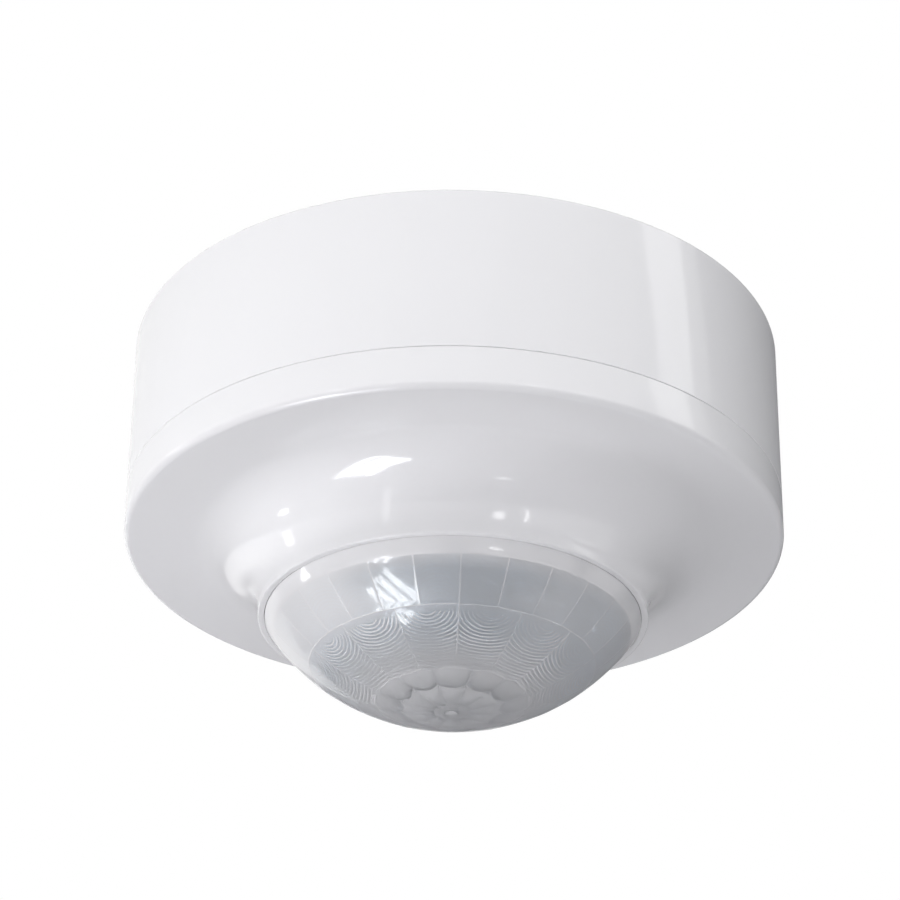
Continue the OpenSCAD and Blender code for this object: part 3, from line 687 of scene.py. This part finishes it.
lensLook = {  # a fade is (from, to), or with its ends (from, to, before, after)
    "milk": (0.80, 0.80, 0.81), "milkTones": (1.0, 0.97), "clear": ((0.80, 0.82, 0.85), (0.68, 0.83, 0.97)),
    "rough": 0.32, "roughSpread": 0.06, "bump": 0.02,
    "clouds": 5.0, "cloudVeil": 0.06, "patches": (9.0, 1.0), "ripples": 1.2, "rippleHeight": 0.4,
    # uneven and its slant make the facets milkier, so paler, on the left side: painted light from the left
    "slant": (0.05, 0.26, 0.36, 0.86), "uneven": (-24, 24, 0.0, 0.31), "unevenSlant": (0.05, 0.3),
    "lower": (0.10, 0.32, 0.26, 0.46), "upperFade": (-7, 4),
    # border makes the border paler on the left than on the right: painted light from the left, on top of
    # its own milkiness
    "border": (-26, 0, 0.92, 0.74), "borderFade": (46.8, 52.6),
    "grooveStep": 0.66, "grooveVeil": 0.85, "grooveShares": (0.12, 1.0), "grooveEdge": (0.15, 0.5),
    "grooveRest": 0.25, "grooveStop": 2, "groovePatch": (0.3, 0.7, 0.15, 1.0),
    # these fades paint a highlight at each small facet's top, and shade at its foot and sides
    "cellTop": (0.3, 1.0, 0.0, 0.16), "cellFoot": (0.0, 0.4, 0.24, 0.0), "cellSide": (0.7, 1.0, 0.0, 0.20),
    "ridgeVeil": 0.30, "ridgePatch": (0.25, 0.6, 0.35, 1.0), "ridgeEnd": (-0.5, -0.1),
    "ridgeFade": (-1, 1), "ridgeShares": (0.3, 1.0),
    # pip paints a highlight on the pip, and well paints a ring of shade round it
    "pip": (0.9, 1.5, 0.34, 0.0), "wellFrom": 2.0, "well": 0.1}


def lensVeil(at, facing, theta):  # share of milkiness: heavy at the border and on facets seen aslant, and heavier on the left side as painted light from the left
    k = lensLook
    x = at.split()[0]
    # the facets' milkiness falls towards +X, which paints the left side lighter as painted light
    slant = facing.step(*k["slant"]) - x.step(*k["uneven"]) * facing.step(*k["unevenSlant"])
    lower = facing.step(*k["lower"])
    upper = theta.step(*around(dome["upperFoot"], k["upperFade"]))
    veil = lower + upper * (slant - lower)
    # the border is paler on the left than on the right: painted light from the left
    return veil + theta.step(*k["borderFade"]) * (x.step(*k["border"]) - veil)


def lensGrooves(theta, phi):  # rings of fine steps about the upper middle of each facet
    k = lensLook
    toMm = math.radians(1) * dome["radius"]
    grooves = 0.0
    for (ring, top, foot), share in zip(ringSpans(), k["grooveShares"]):
        width = 360 / dome["counts"][ring]
        offset = (((phi - dome["turn"]) / width).do("FRACT") - 0.5) * width
        across = offset * toMm * (theta * math.radians(1)).do("SINE")
        along = (theta - dome["upperFoot"]) * toMm
        part = (across * across + along * along).do("SQRT") / k["grooveStep"]
        line = (part.do("FRACT") - 0.5).size().step(*k["grooveEdge"])
        grooves = grooves + (line - k["grooveRest"]) * theta.within(foot, top - k["grooveStop"]) * share
    return grooves


def lensCellShading(at):  # the small facets are painted paler towards their tops as a painted highlight, and darker at their feet and sides as painted shade
    k = lensLook
    small, up, across = at.add("ShaderNodeAttribute", {"attribute_name": "cellMarks"}).split()
    return small * (up.step(*k["cellTop"]) - up.step(*k["cellFoot"]) - across.step(*k["cellSide"]))


def lensFinish(name, ridge):  # ridge is true for the border and the raised lines between facets
    k = lensLook
    finish, at = begin(name)
    theta, phi = domeWires(at)
    cloud, patch = at.noise(k["clouds"]), at.noise(*k["patches"])
    facing = at.add("ShaderNodeLayerWeight", {}, {"Blend": 0.5}, out=1)
    veil = lensVeil(at, facing, theta) + (cloud - 0.5) * k["cloudVeil"]
    height = at.noise(k["ripples"]) * k["rippleHeight"]
    if ridge:
        line = patch.step(*k["ridgePatch"]) * theta.step(*around(dome["pipRing"], k["ridgeEnd"]))
        line = line * theta.step(*around(dome["smallTop"], k["ridgeFade"]), *k["ridgeShares"])
        # a painted highlight on the pip, and painted shade in a ring round it
        middle = theta.step(*k["pip"]) - theta.step(k["wellFrom"], dome["pipRing"], k["well"], 0.0)
        veil = veil + line * k["ridgeVeil"] + middle
    else:
        grooves = lensGrooves(theta, phi)
        veil = veil + lensCellShading(at) + grooves * patch.step(*k["groovePatch"]) * k["grooveVeil"]
        height = height + grooves
    fixed = {"IOR": 1.5, "Coat_Weight": 0.7, "Coat_Roughness": 0.06, "Specular_IOR_Level": 0.25}
    colour = cloud.mix(*tones(k["milk"], *k["milkTones"]))
    milky = surface(at, colour, cloud.about(k["rough"], k["roughSpread"]), height, k["bump"], **fixed)
    tint = theta.step(dome["smallTop"], dome["upperFoot"]).mix(*k["clear"])
    clear = surface(at, tint, k["rough"], height, k["bump"], Transmission_Weight=1.0, **fixed)
    return end(finish, at.add("ShaderNodeMixShader", {}, {0: veil, 1: clear, 2: milky}))


lensDome = makeLens()
print("lens made")


# Boxed parts on the main board

boxes = {  # tiers go down from the board: how deep, and how far the sides draw in
    "relay": {"name": "relayCase", "slot": "relay_blue", "corner": 0.9, "tiers": (
        (1.3, 0.0), (1.3, 0.22), (1.6, 0.22), (1.6, 0.0), (14.9, 0.12), (15.5, 0.28), (15.8, 0.6),
        (15.9, 1.0), (15.9, 2.0), (15.7, 2.2))},
    "film_capacitor": {"name": "filmCase", "slot": "film_yellow", "corner": 0.7, "tiers": (
        (0.5, 0.0), (14.1, 0.1), (14.6, 0.25), (14.9, 0.55), (15.0, 0.9), (15.0, 1.5), (14.85, 1.65))},
}


def stacked(node, name, slot, corner, tiers):
    low, high = span(node)
    middle, size = (low + high) / 2, high - low
    letGo()
    bpy.ops.mesh.primitive_plane_add(size=mm, location=(middle.x * mm, middle.y * mm, high.z * mm))
    piece = bpy.context.object
    piece.name = name
    piece.scale = (size.x, size.y, 1)
    bpy.ops.object.transform_apply(location=True, rotation=True, scale=True)
    openUp(piece)
    bpy.ops.mesh.select_all(action="SELECT")
    bpy.ops.mesh.bevel(offset=corner * mm, segments=5, affect="VERTICES")
    bpy.ops.mesh.select_all(action="SELECT")
    wide, tall, deep = size.x, size.y, 0.0
    for depth, draw in tiers:
        bpy.ops.mesh.extrude_region_move(TRANSFORM_OT_translate={"value": (0, 0, (deep - depth) * mm)})
        newWide, newTall, deep = size.x - 2 * draw, size.y - 2 * draw, depth
        bpy.ops.transform.resize(value=(newWide / wide, newTall / tall, 1),
                                 center_override=(middle.x * mm, middle.y * mm, (high.z - depth) * mm))
        wide, tall = newWide, newTall
    closeUp()
    clean(piece)
    smooth(piece, angle=40)
    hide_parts(node)
    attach(piece, "base")
    return piece


cases = {node: stacked(node, **box) for node, box in boxes.items()}
print("boxed parts made")


# Finishes: rough is (middle, spread), and sizes of noise are in millimetres

housingLook = {
    "whites": ((0.862, 0.862, 0.874), (0.882, 0.882, 0.892)), "broad": (40.0, 2.0),
    "fine": (0.9, 2.0), "flow": (9.0, 4.0), "rough": (0.09, 0.04), "hiddenRough": 0.3,
    "flowHeight": 0.7, "fineHeight": 0.05, "hiddenHeight": 0.5, "bump": 0.006,
    "wallEdge": (-0.25, 0.05), "faceEdge": (0.8, 1.4)}


def housingFinish():  # glossy outside, and duller on the hidden inside
    k = housingLook
    finish, at = begin("housingWhite")
    x, y, z = at.split()
    fine, flow = at.noise(*k["fine"]), at.noise(*k["flow"])
    radius = (x * x + y * y).do("SQRT")
    inside = radius.step(*around(drum["radius"] - drum["wall"], k["wallEdge"]), 1.0, 0.0)
    hidden = inside * z.step(*around(-cover["face"], k["faceEdge"]))
    colour = at.noise(*k["broad"]).mix(*k["whites"])
    rough = flow.about(*k["rough"]) + hidden * k["hiddenRough"]
    height = flow * k["flowHeight"] + fine * (k["fineHeight"] + hidden * k["hiddenHeight"])
    return end(finish, surface(at, colour, rough, height, k["bump"], IOR=1.49))


dress(drumShell, housingFinish())
dress(coverShell, drumShell.data.materials[0])

mouldedLook = {
    "clouds": 4.0, "cloudShare": 0.7, "fineShare": 0.3, "tones": (0.92, 1.08), "roughSpread": 0.12,
    "bump": 0.02}


def mouldedFinish(name, colour, rough=0.42, grain=0.35, **fixed):
    k = mouldedLook
    finish, at = begin(name)
    cloud, fine = at.noise(k["clouds"]), at.noise(grain, detail=2.0)
    shade = (cloud * k["cloudShare"] + fine * k["fineShare"]).mix(*tones(colour, *k["tones"]))
    return end(finish, surface(at, shade, cloud.about(rough, k["roughSpread"]), fine, k["bump"], **fixed))


metalLook = {"clouds": 2.5, "grain": (0.25, 2.0), "tones": (0.9, 1.1), "rough": (0.28, 0.16), "bump": 0.008}


def metalFinish(name, colour):
    k = metalLook
    finish, at = begin(name)
    fine = at.noise(*k["grain"])
    shade = at.noise(k["clouds"]).mix(*tones(colour, *k["tones"]))
    return end(finish, surface(at, shade, fine.about(*k["rough"]), fine, k["bump"], Metallic=1.0))


knobPlaces = {"sensitivity": (-11.06, -7.74), "time": (0, -13.5), "dusk": (11.06, -7.74)}
lightCellPlace = (10.5, 8.5)
canPlaces = ((-28, 11), (-21, 23))
boards = {  # printed outlines: boxes are (x, y, half width, half length), rings are (x, y, radius)
    "main_board": {"boxes": [(28, -22, 10.0, 8.2), (-28, -24, 9.5, 5.0), (0, 25, 13.6, 6.5)]
                   + [(x, -29.5, 1.8, 4.4) for x in (-10, -5, 0, 5, 10)]
                   + [(x, -41.2, 2.0, 3.6) for x in (-9, -3, 3, 9)],
                   "rings": [(*canPlaces[0], 5.7), (*canPlaces[1], 4.7), (30, 14, 6.4), (21, 25, 4.9),
                             (13, -9, 3.1)],
                   "dials": []},
    "sensor_board": {"boxes": [(0, 11.5, 5.6, 3.9), (-18.8, -4.6, 1.5, 6.6)],
                     "rings": [(0, 0, 7.1), (-10.5, 8.5, 2.2), (*lightCellPlace, 3.1)],
                     "dials": knobPlaces.values()},
}
boardLook = {
    "mask": (0.012, 0.105, 0.048), "copper": (0.022, 0.16, 0.07), "print": (0.72, 0.74, 0.72),
    "edge": (0.42, 0.36, 0.17), "tin": (0.6, 0.6, 0.58), "hole": (0.02, 0.03, 0.02),
    "pours": (6.0, 0.75), "gap": (0.05, 0.10), "cloudCopper": (0.75, 0.5),
    "vias": (3.6, 0.9), "viaHole": 0.05, "viaRing": 0.11, "viaPatch": (6.0, 1.0),
    "viaSome": 0.52, "line": 0.12, "dial": 4.9, "dialHalf": 0.14, "dialSweep": 2.2,
    "ticks": 11, "tickShare": 0.14, "tickLength": 0.8,
    "noises": (0.4, 8.0), "rough": (0.26, 0.1), "inkRough": 0.25, "edgeRough": 0.3,
    "gapHeight": 0.6, "inkHeight": 0.5, "fineHeight": 0.15, "bump": 0.03}


def boardPrint(x, y, board):
    k = boardLook
    ink = 0.0
    for cx, cy, wide, tall in board["boxes"]:
        off = ((x - cx).size() - wide).do("MAXIMUM", (y - cy).size() - tall)
        ink = ink + off.size().under(k["line"])
    for cx, cy, radius in board["rings"]:
        ink = ink + (reach(x, y, (cx, cy)) - radius).size().under(k["line"])
    for place in board["dials"]:  # an arc with ticks round each adjuster, open towards the sensor
        along, aside = outwards(x, y, place)
        angle = aside.do("ARCTAN2", along)
        far = reach(x, y, place)
        tick = (angle * (k["ticks"] / (2 * math.pi))).do("FRACT").under(k["tickShare"])
        tick = tick * far.within(k["dial"], k["dial"] + k["tickLength"])
        arc = far.within(k["dial"] - k["dialHalf"], k["dial"] + k["dialHalf"])
        ink = ink + angle.size().under(k["dialSweep"]) * tick.do("MAXIMUM", arc)
    return ink.do("MINIMUM", 1.0)


def boardFinish(name, board):  # copper areas, small plated holes, print, and a bare edge
    k = boardLook
    finish, at = begin(name)
    x, y = at.split()[:2]
    level = at.add("ShaderNodeTexCoord", out=1).split()[2].size()  # 1 on the faces, 0 round the edge
    first, second = [at.cells(*k["pours"], distance="MANHATTAN", feature=which) for which in ("F1", "F2")]
    vias = at.cells(*k["vias"])
    fine, cloud = at.noises(*k["noises"])
    some = at.noise(*k["viaPatch"]).over(k["viaSome"])
    ink = boardPrint(x, y, board)
    edge = level.under(0.5)
    gap = (second - first).step(*k["gap"])
    shade = (gap * (k["cloudCopper"][0] + cloud * k["cloudCopper"][1])).mix(k["mask"], k["copper"])
    shade = (vias.under(k["viaRing"]) * some).mix(shade, k["tin"])
    shade = (vias.under(k["viaHole"]) * some).mix(shade, k["hole"])
    shade = edge.mix(ink.mix(shade, k["print"]), k["edge"])
    rough = cloud.about(*k["rough"]) + ink * k["inkRough"] + edge * k["edgeRough"]
    height = gap * k["gapHeight"] + ink * k["inkHeight"] + fine * k["fineHeight"]
    return end(finish, surface(at, shade, rough, height, k["bump"]))


canLook = {
    "sizes": ((5.0, 27.6), (4.0, 23.1)),  # radius of each can, and depth of its tip
    "sleeve": (0.035, 0.05, 0.13), "sleeveTones": (1.0, 1.25), "stripe": (0.5, 0.55, 0.64),
    "tip": (0.74, 0.74, 0.74), "ventTones": (1.0, 0.55), "around": 0.6, "tipShare": 0.76,
    "tipDepth": 0.9, "vent": 0.22, "ventShare": 0.6, "stripeWay": (0.6, -0.8), "stripeShare": 0.9,
    "dashHalf": 0.35, "dashStep": 4.0, "dashShare": 0.5, "noises": (0.3, 3.0),
    "rough": (0.22, 0.08), "tipRough": 0.12, "fineHeight": 0.2, "bump": 0.08}


def capacitorFinish():  # a striped sleeve, and a bare tip with a cross pressed into it, the cross painted darker as painted shade
    k = canLook
    wayX, wayY = k["stripeWay"]
    finish, at = begin("capacitorSleeve")
    x, y, z = at.split()
    fine, cloud = at.noises(*k["noises"])
    metal, stripe, dash, vent = 0.0, 0.0, 0.0, 0.0
    for (cx, cy), (radius, tip) in zip(canPlaces, k["sizes"]):
        far = reach(x, y, (cx, cy))
        mine = far.under(radius + k["around"])
        bare = mine * far.under(radius * k["tipShare"]) * z.under(k["tipDepth"] - tip)
        side = mine * ((x - cx) * wayX + (y - cy) * wayY).over(radius * k["stripeShare"])
        middle = ((x - cx) * -wayY + (y - cy) * wayX).size().under(k["dashHalf"])
        cross = (x - cx).size().do("MINIMUM", (y - cy).size()).under(k["vent"])
        metal, stripe = metal + bare, stripe + side
        dash = dash + side * middle * (z / k["dashStep"]).do("FRACT").under(k["dashShare"])
        vent = vent + bare * cross * far.under(radius * k["ventShare"])
    shade = stripe.mix(cloud.mix(*tones(k["sleeve"], *k["sleeveTones"])), k["stripe"])
    shade = dash.mix(shade, k["sleeve"])
    # the pressed cross is painted darker: painted shade in its grooves
    shade = metal.mix(shade, vent.mix(*tones(k["tip"], *k["ventTones"])))
    rough = fine.about(*k["rough"]) + metal * k["tipRough"]
    return end(finish, surface(at, shade, rough, fine * k["fineHeight"] - vent, k["bump"], Metallic=metal))


bands = {
    "colours": (((0.12, 0.05, 0.02), (0.55, 0.03, 0.02)), ((0.02, 0.02, 0.02), (0.65, 0.4, 0.02)),
                ((0.6, 0.18, 0.02), (0.12, 0.05, 0.02)), ((0.55, 0.38, 0.1), (0.55, 0.38, 0.1))),
    "places": (-31.7, -30.6, -29.6, -27.4), "half": 0.28, "body": (0.62, 0.47, 0.3), "first": -12.5,
    "pair": 10, "tones": (0.92, 1.06), "noises": (0.3, 2.0), "rough": (0.34, 0.1), "bump": 0.02}


def resistorFinish():  # every second one has the other colour of each band
    k = bands
    finish, at = begin("resistorTan")
    x, y = at.split()[:2]
    fine, cloud = at.noises(*k["noises"])
    which = ((x - k["first"]) / k["pair"]).do("FRACT").under(0.5)
    shade = cloud.mix(*tones(k["body"], *k["tones"]))
    for place, (one, other) in zip(k["places"], k["colours"]):
        shade = (y - place).size().under(k["half"]).mix(shade, which.mix(one, other))
    return end(finish, surface(at, shade, cloud.about(*k["rough"]), fine, k["bump"], Coat_Weight=0.3))


diodeLook = {
    "blacks": ((0.018, 0.018, 0.02), (0.035, 0.035, 0.037)), "ring": (0.62, 0.62, 0.62),
    "ringAt": (-43.2, -42.3), "noises": (0.25, 2.0), "rough": (0.42, 0.12), "ringGloss": 0.1,
    "bump": 0.03}


def diodeFinish():
    k = diodeLook
    finish, at = begin("diodeBlack")
    ring = at.split()[1].within(*k["ringAt"])
    fine, cloud = at.noises(*k["noises"])
    shade = ring.mix(cloud.mix(*k["blacks"]), k["ring"])
    rough = cloud.about(*k["rough"]) - ring * k["ringGloss"]
    return end(finish, surface(at, shade, rough, fine, k["bump"]))


lightCellLook = {
    "radius": 2.55, "faceShare": 0.8, "faceHeight": -34.3, "winding": 0.75,
    "track": (0.12, 0.2, 1.0, 0.0), "trackHalf": 1.5, "trackRed": (0.5, 0.09, 0.03),
    "between": (0.74, 0.68, 0.56), "rims": ((0.72, 0.66, 0.56), (0.8, 0.74, 0.64)),
    "clouds": 0.8, "rough": (0.3, 0.1), "bump": 0.03}


def lightCellFinish():  # a track that winds to and fro across the face
    k = lightCellLook
    cx, cy = lightCellPlace
    finish, at = begin("lightCell")
    x, y, z = at.split()
    face = z.under(k["faceHeight"]) * reach(x, y, lightCellPlace).under(k["radius"] * k["faceShare"])
    wind = ((x - cx) / k["winding"] + 0.5).do("FRACT") - 0.5
    track = wind.size().step(*k["track"]) * (y - cy).size().under(k["trackHalf"])
    cloud = at.noise(k["clouds"])
    shade = face.mix(cloud.mix(*k["rims"]), track.mix(k["between"], k["trackRed"]))
    return end(finish, surface(at, shade, cloud.about(*k["rough"]), track, k["bump"], Coat_Weight=0.8))


lampLook = {
    "reds": ((0.62, 0.02, 0.015), (0.8, 0.05, 0.03)), "clouds": 1.5, "rough": (0.105, 0.05)}


def lampFinish():
    k = lampLook
    finish, at = begin("lampRed")
    cloud = at.noise(k["clouds"])
    shade, rough = cloud.mix(*k["reds"]), cloud.about(*k["rough"])
    return end(finish, surface(at, shade, rough, Transmission_Weight=0.55, IOR=1.5))


brushedLook = {
    "nickel": (0.72, 0.7, 0.66), "tones": (0.92, 1.06), "clouds": 2.0, "lines": 9.0,
    "rough": (0.2, 0.18), "bump": 0.01}


def brushedFinish():  # fine turning lines about the middle axis
    k = brushedLook
    finish, at = begin("canNickel")
    x, y, z = at.split()
    lines = at.add("ShaderNodeTexNoise", {"noise_dimensions": "1D"},
                   {"W": reach(x, y, (0, 0)) + z, "Scale": k["lines"]})
    shade = at.noise(k["clouds"]).mix(*tones(k["nickel"], *k["tones"]))
    return end(finish, surface(at, shade, lines.about(*k["rough"]), lines, k["bump"], Metallic=1.0))


knobLook = {
    "whites": ((0.76, 0.76, 0.74), (0.82, 0.82, 0.8)), "ink": (0.03, 0.03, 0.035), "markHalf": 0.3,
    "mark": (0.9, 2.9), "faceHeight": -42.0, "noises": (0.3, 2.5), "rough": (0.38, 0.12),
    "bump": 0.02}


def knobFinish(name, place):  # a dark line from the middle to the pointer's side
    k = knobLook
    finish, at = begin(name)
    x, y, z = at.split()
    fine, cloud = at.noises(*k["noises"])
    along, aside = outwards(x, y, place)
    mark = aside.size().under(k["markHalf"]) * along.within(*k["mark"]) * z.under(k["faceHeight"])
    shade = mark.mix(cloud.mix(*k["whites"]), k["ink"])
    return end(finish, surface(at, shade, cloud.about(*k["rough"]), fine, k["bump"]))


nodeFinishes = {
    "cable_grommet": mouldedFinish("grommetRubber", (0.10, 0.10, 0.11), 0.6),
    "main_board": boardFinish("mainBoardGreen", boards["main_board"]),
    "sensor_board": boardFinish("sensorBoardGreen", boards["sensor_board"]),
    "main_board_screws": metalFinish("screwSteel", (0.62, 0.62, 0.6)),
    "terminal_block": mouldedFinish("terminalGrey", (0.36, 0.38, 0.4)),
    "terminal_clamps": metalFinish("clampBrass", (0.78, 0.6, 0.28)),
    "relay": mouldedFinish("relayBlue", (0.02, 0.055, 0.2), 0.34),
    "film_capacitor": mouldedFinish("filmYellow", (0.66, 0.47, 0.07), 0.34),
    "smoothing_capacitors": capacitorFinish(),
    "varistor": mouldedFinish("varistorBlue", (0.03, 0.13, 0.36), 0.16, grain=0.8, Coat_Weight=0.5),
    "fuse": mouldedFinish("fuseBrown", (0.16, 0.075, 0.04), 0.3),
    "rectifier_diodes": diodeFinish(),
    "relay_driver": mouldedFinish("mouldedBlack", (0.025, 0.025, 0.027)),
    "resistors": resistorFinish(),
    "component_leads": metalFinish("leadTin", (0.72, 0.72, 0.72)),
    "board_pillars": mouldedFinish("nylonWhite", (0.8, 0.8, 0.77)),
    "heat_sensor_can": brushedFinish(),
    "heat_sensor_window": mouldedFinish("windowDark", (0.10, 0.09, 0.12), 0.1, Coat_Weight=1.0),
    "light_cell": lightCellFinish(),
    "indicator_lamp": lampFinish(),
    "time_trimmer": mouldedFinish("trimmerBlue", (0.04, 0.12, 0.32)),
    **{name + "_knob": knobFinish(name + "KnobWhite", place) for name, place in knobPlaces.items()},
}
sameAs = {
    "main_board_screws": ("terminal_screws", "sensor_board_screws", "retainer_screws"),
    "relay_driver": ("link_strips", "control_chip"), "component_leads": ("solder_joints", "chip_legs"),
    "terminal_clamps": ("link_pins", "heat_sensor_leads"),
    "board_pillars": ("heat_sensor_spacer", "lens_retainer"),
    "time_trimmer": ("sensitivity_trimmer", "dusk_trimmer"),
}
for first, others in sameAs.items():
    nodeFinishes.update({other: nodeFinishes[first] for other in others})
for name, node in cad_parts.items():
    if not node.hide_render:  # a node that a piece replaces is hidden
        dress(node, nodeFinishes[name])
for name, case in cases.items():
    dress(case, nodeFinishes[name])
print("finishes given")


# Light, background and floor

lamps = {  # at: azimuth from the camera's side towards +X, elevation, distance; size: width, height
    "leftNear": {"at": (-80, -10, 500), "size": (300, 300), "glow": 3.9},
    "leftLow": {"at": (-98, -38, 450), "size": (220, 220), "glow": 2.6, "tint": (1.0, 0.99, 1.035)},
    "frontLow": {"at": (0, -35, 1000), "size": (800, 600), "glow": 2.2, "tint": (1.0, 0.99, 1.035)},
    "frontHigh": {"at": (-10, 45, 1200), "size": (900, 700), "glow": 4.2},
    "rightFill": {"at": (50, 5, 1200), "size": (800, 800), "glow": 1.7},
    "backFill": {"at": (180, 30, 1200), "size": (900, 700), "glow": 4.6},
    "lowWindow": {"at": (-65, -61, 620), "size": (210, 250), "glow": 14.0, "tint": (0.94, 0.97, 1.0),
                  "glint": True, "panes": 4, "paneShare": 0.66},
    "leftWindow": {"at": (-101, 4, 900), "size": (100, 260), "glow": 4.0, "glint": True},
    "leftSpot": {"at": (-102, -23, 900), "size": (95, 80), "glow": 12.0, "glint": True},
    "middleBar": {"at": (-37, -7, 1500), "size": (110, 1300), "glow": 2.4, "glint": True},
    "sideStrip": {"at": (79, 31, 1500), "size": (370, 620), "glow": 1.6, "glint": True},
    "rightSpot": {"at": (24.5, 10.5, 1500), "size": (140, 300), "glow": 7.0, "glint": True},
    "rightBar": {"at": (40, 6.5, 1500), "size": (55, 500), "glow": 8.0, "glint": True},
    "lipSpot": {"at": (30, -45.5, 1200), "size": (150, 60), "glow": 9.0, "glint": True},
}
studio = {
    "ambient": (0.07, 0.07, 0.075), "floorDepth": 900.0, "floorRadius": 6000.0, "floorSides": 96,
    "floor": (0.74, 0.74, 0.745), "floorTones": (1.0, 1.03), "floorClouds": 400.0,
    "floorRough": (0.7, 0.1), "floorWhite": 0.78,
    "cards": {"tallCard": (96.0, 80.0, 1900.0), "lowCard": (176.0, 19.0, 420.0)},  # start, sweep, top
    "cardRadius": 1600.0, "cardFoot": -900.0, "card": (0.26, 0.26, 0.275), "cardTones": (1.0, 1.1),
    "cardClouds": 900.0}


def hangLamp(name, at, size, glow, tint=(1.0, 1.0, 1.0), glint=False, panes=1, paneShare=1.0):
    az, el = math.radians(at[0]), math.radians(at[1])
    way = Vector((math.sin(az) * math.cos(el), -math.cos(az) * math.cos(el), math.sin(el)))
    middle = (Vector(cadBox[0]) + Vector(cadBox[1])) / 2
    turn = way.to_track_quat("Z", "Y")
    step = size[0] / panes
    wide = step * paneShare  # the rest of a pane's width is its frame
    for pane in range(panes):
        letGo()
        aside = turn @ Vector(((pane - (panes - 1) / 2) * step, 0, 0))
        bpy.ops.object.light_add(type="AREA", location=middle + (way * at[2] + aside) * mm,
                                 rotation=turn.to_euler())
        lamp = bpy.context.object
        lamp.name = name + str(pane)
        lamp.data.shape = "RECTANGLE"
        lamp.data.size, lamp.data.size_y = wide * mm, size[1] * mm
        lamp.data.energy = glow * math.pi * wide * size[1] * mm * mm
        lamp.data.color = tint
        lamp.visible_camera = False
        lamp.visible_glossy = glint  # a lamp either fills or shows in the gloss
        lamp.visible_diffuse = not glint


def setWorld():  # white to the camera, to gloss and through glass, and dim as a light
    world = bpy.data.worlds.new("studio")
    world.use_nodes = True
    world.node_tree.nodes.clear()
    path = world.node_tree.nodes.new("ShaderNodeLightPath")
    seen = [Wire(path.outputs["Is " + kind + " Ray"]) for kind in ("Camera", "Glossy", "Transmission")]
    white = seen[0].do("MAXIMUM", seen[1]).do("MAXIMUM", seen[2])
    sky = white.add("ShaderNodeBackground", {}, {"Color": white.mix(studio["ambient"], (1.0, 1.0, 1.0))})
    sky.add("ShaderNodeOutputWorld", {}, {"Surface": sky})
    bpy.context.scene.world = world


def layFloor():
    s = studio
    letGo()
    bpy.ops.mesh.primitive_circle_add(vertices=s["floorSides"], radius=s["floorRadius"] * mm,
                                      fill_type="NGON", location=(0, 0, -s["floorDepth"] * mm))
    floor = bpy.context.object
    floor.name = "floor"
    bpy.ops.object.transform_apply(location=True, rotation=True, scale=True)
    finish, at = begin("floorPale")
    cloud = at.noise(s["floorClouds"])
    lit = surface(at, cloud.mix(*tones(s["floor"], *s["floorTones"])), cloud.about(*s["floorRough"]))
    glow = at.add("ShaderNodeEmission", {}, {"Strength": s["floorWhite"]})
    white = at.add("ShaderNodeAddShader", {}, {0: lit, 1: glow})
    seen = at.add("ShaderNodeLightPath")  # the camera sees it nearly white, with the shadow on it
    dress(floor, end(finish, at.add("ShaderNodeMixShader", {}, {0: seen, 1: lit, 2: white})))


def standCard(name, start, sweep, top):  # grey, behind and to the right, seen in gloss and through the lens
    s = studio
    card = turned(name, [(s["cardRadius"], s["cardFoot"]), (s["cardRadius"], top)], steps=24, sweep=sweep)
    moved(card, turn=start - 90)
    finish, at = begin(name + "Grey")
    shade = at.noise(s["cardClouds"]).mix(*tones(s["card"], *s["cardTones"]))
    dress(card, end(finish, at.add("ShaderNodeEmission", {}, {"Color": shade})))
    card.visible_camera = card.visible_diffuse = card.visible_shadow = False


for name, lamp in lamps.items():
    hangLamp(name, **lamp)
setWorld()
layFloor()
for name, card in studio["cards"].items():
    standCard(name, *card)
bpy.context.scene.view_settings.view_transform = "Standard"
print("studio lit")
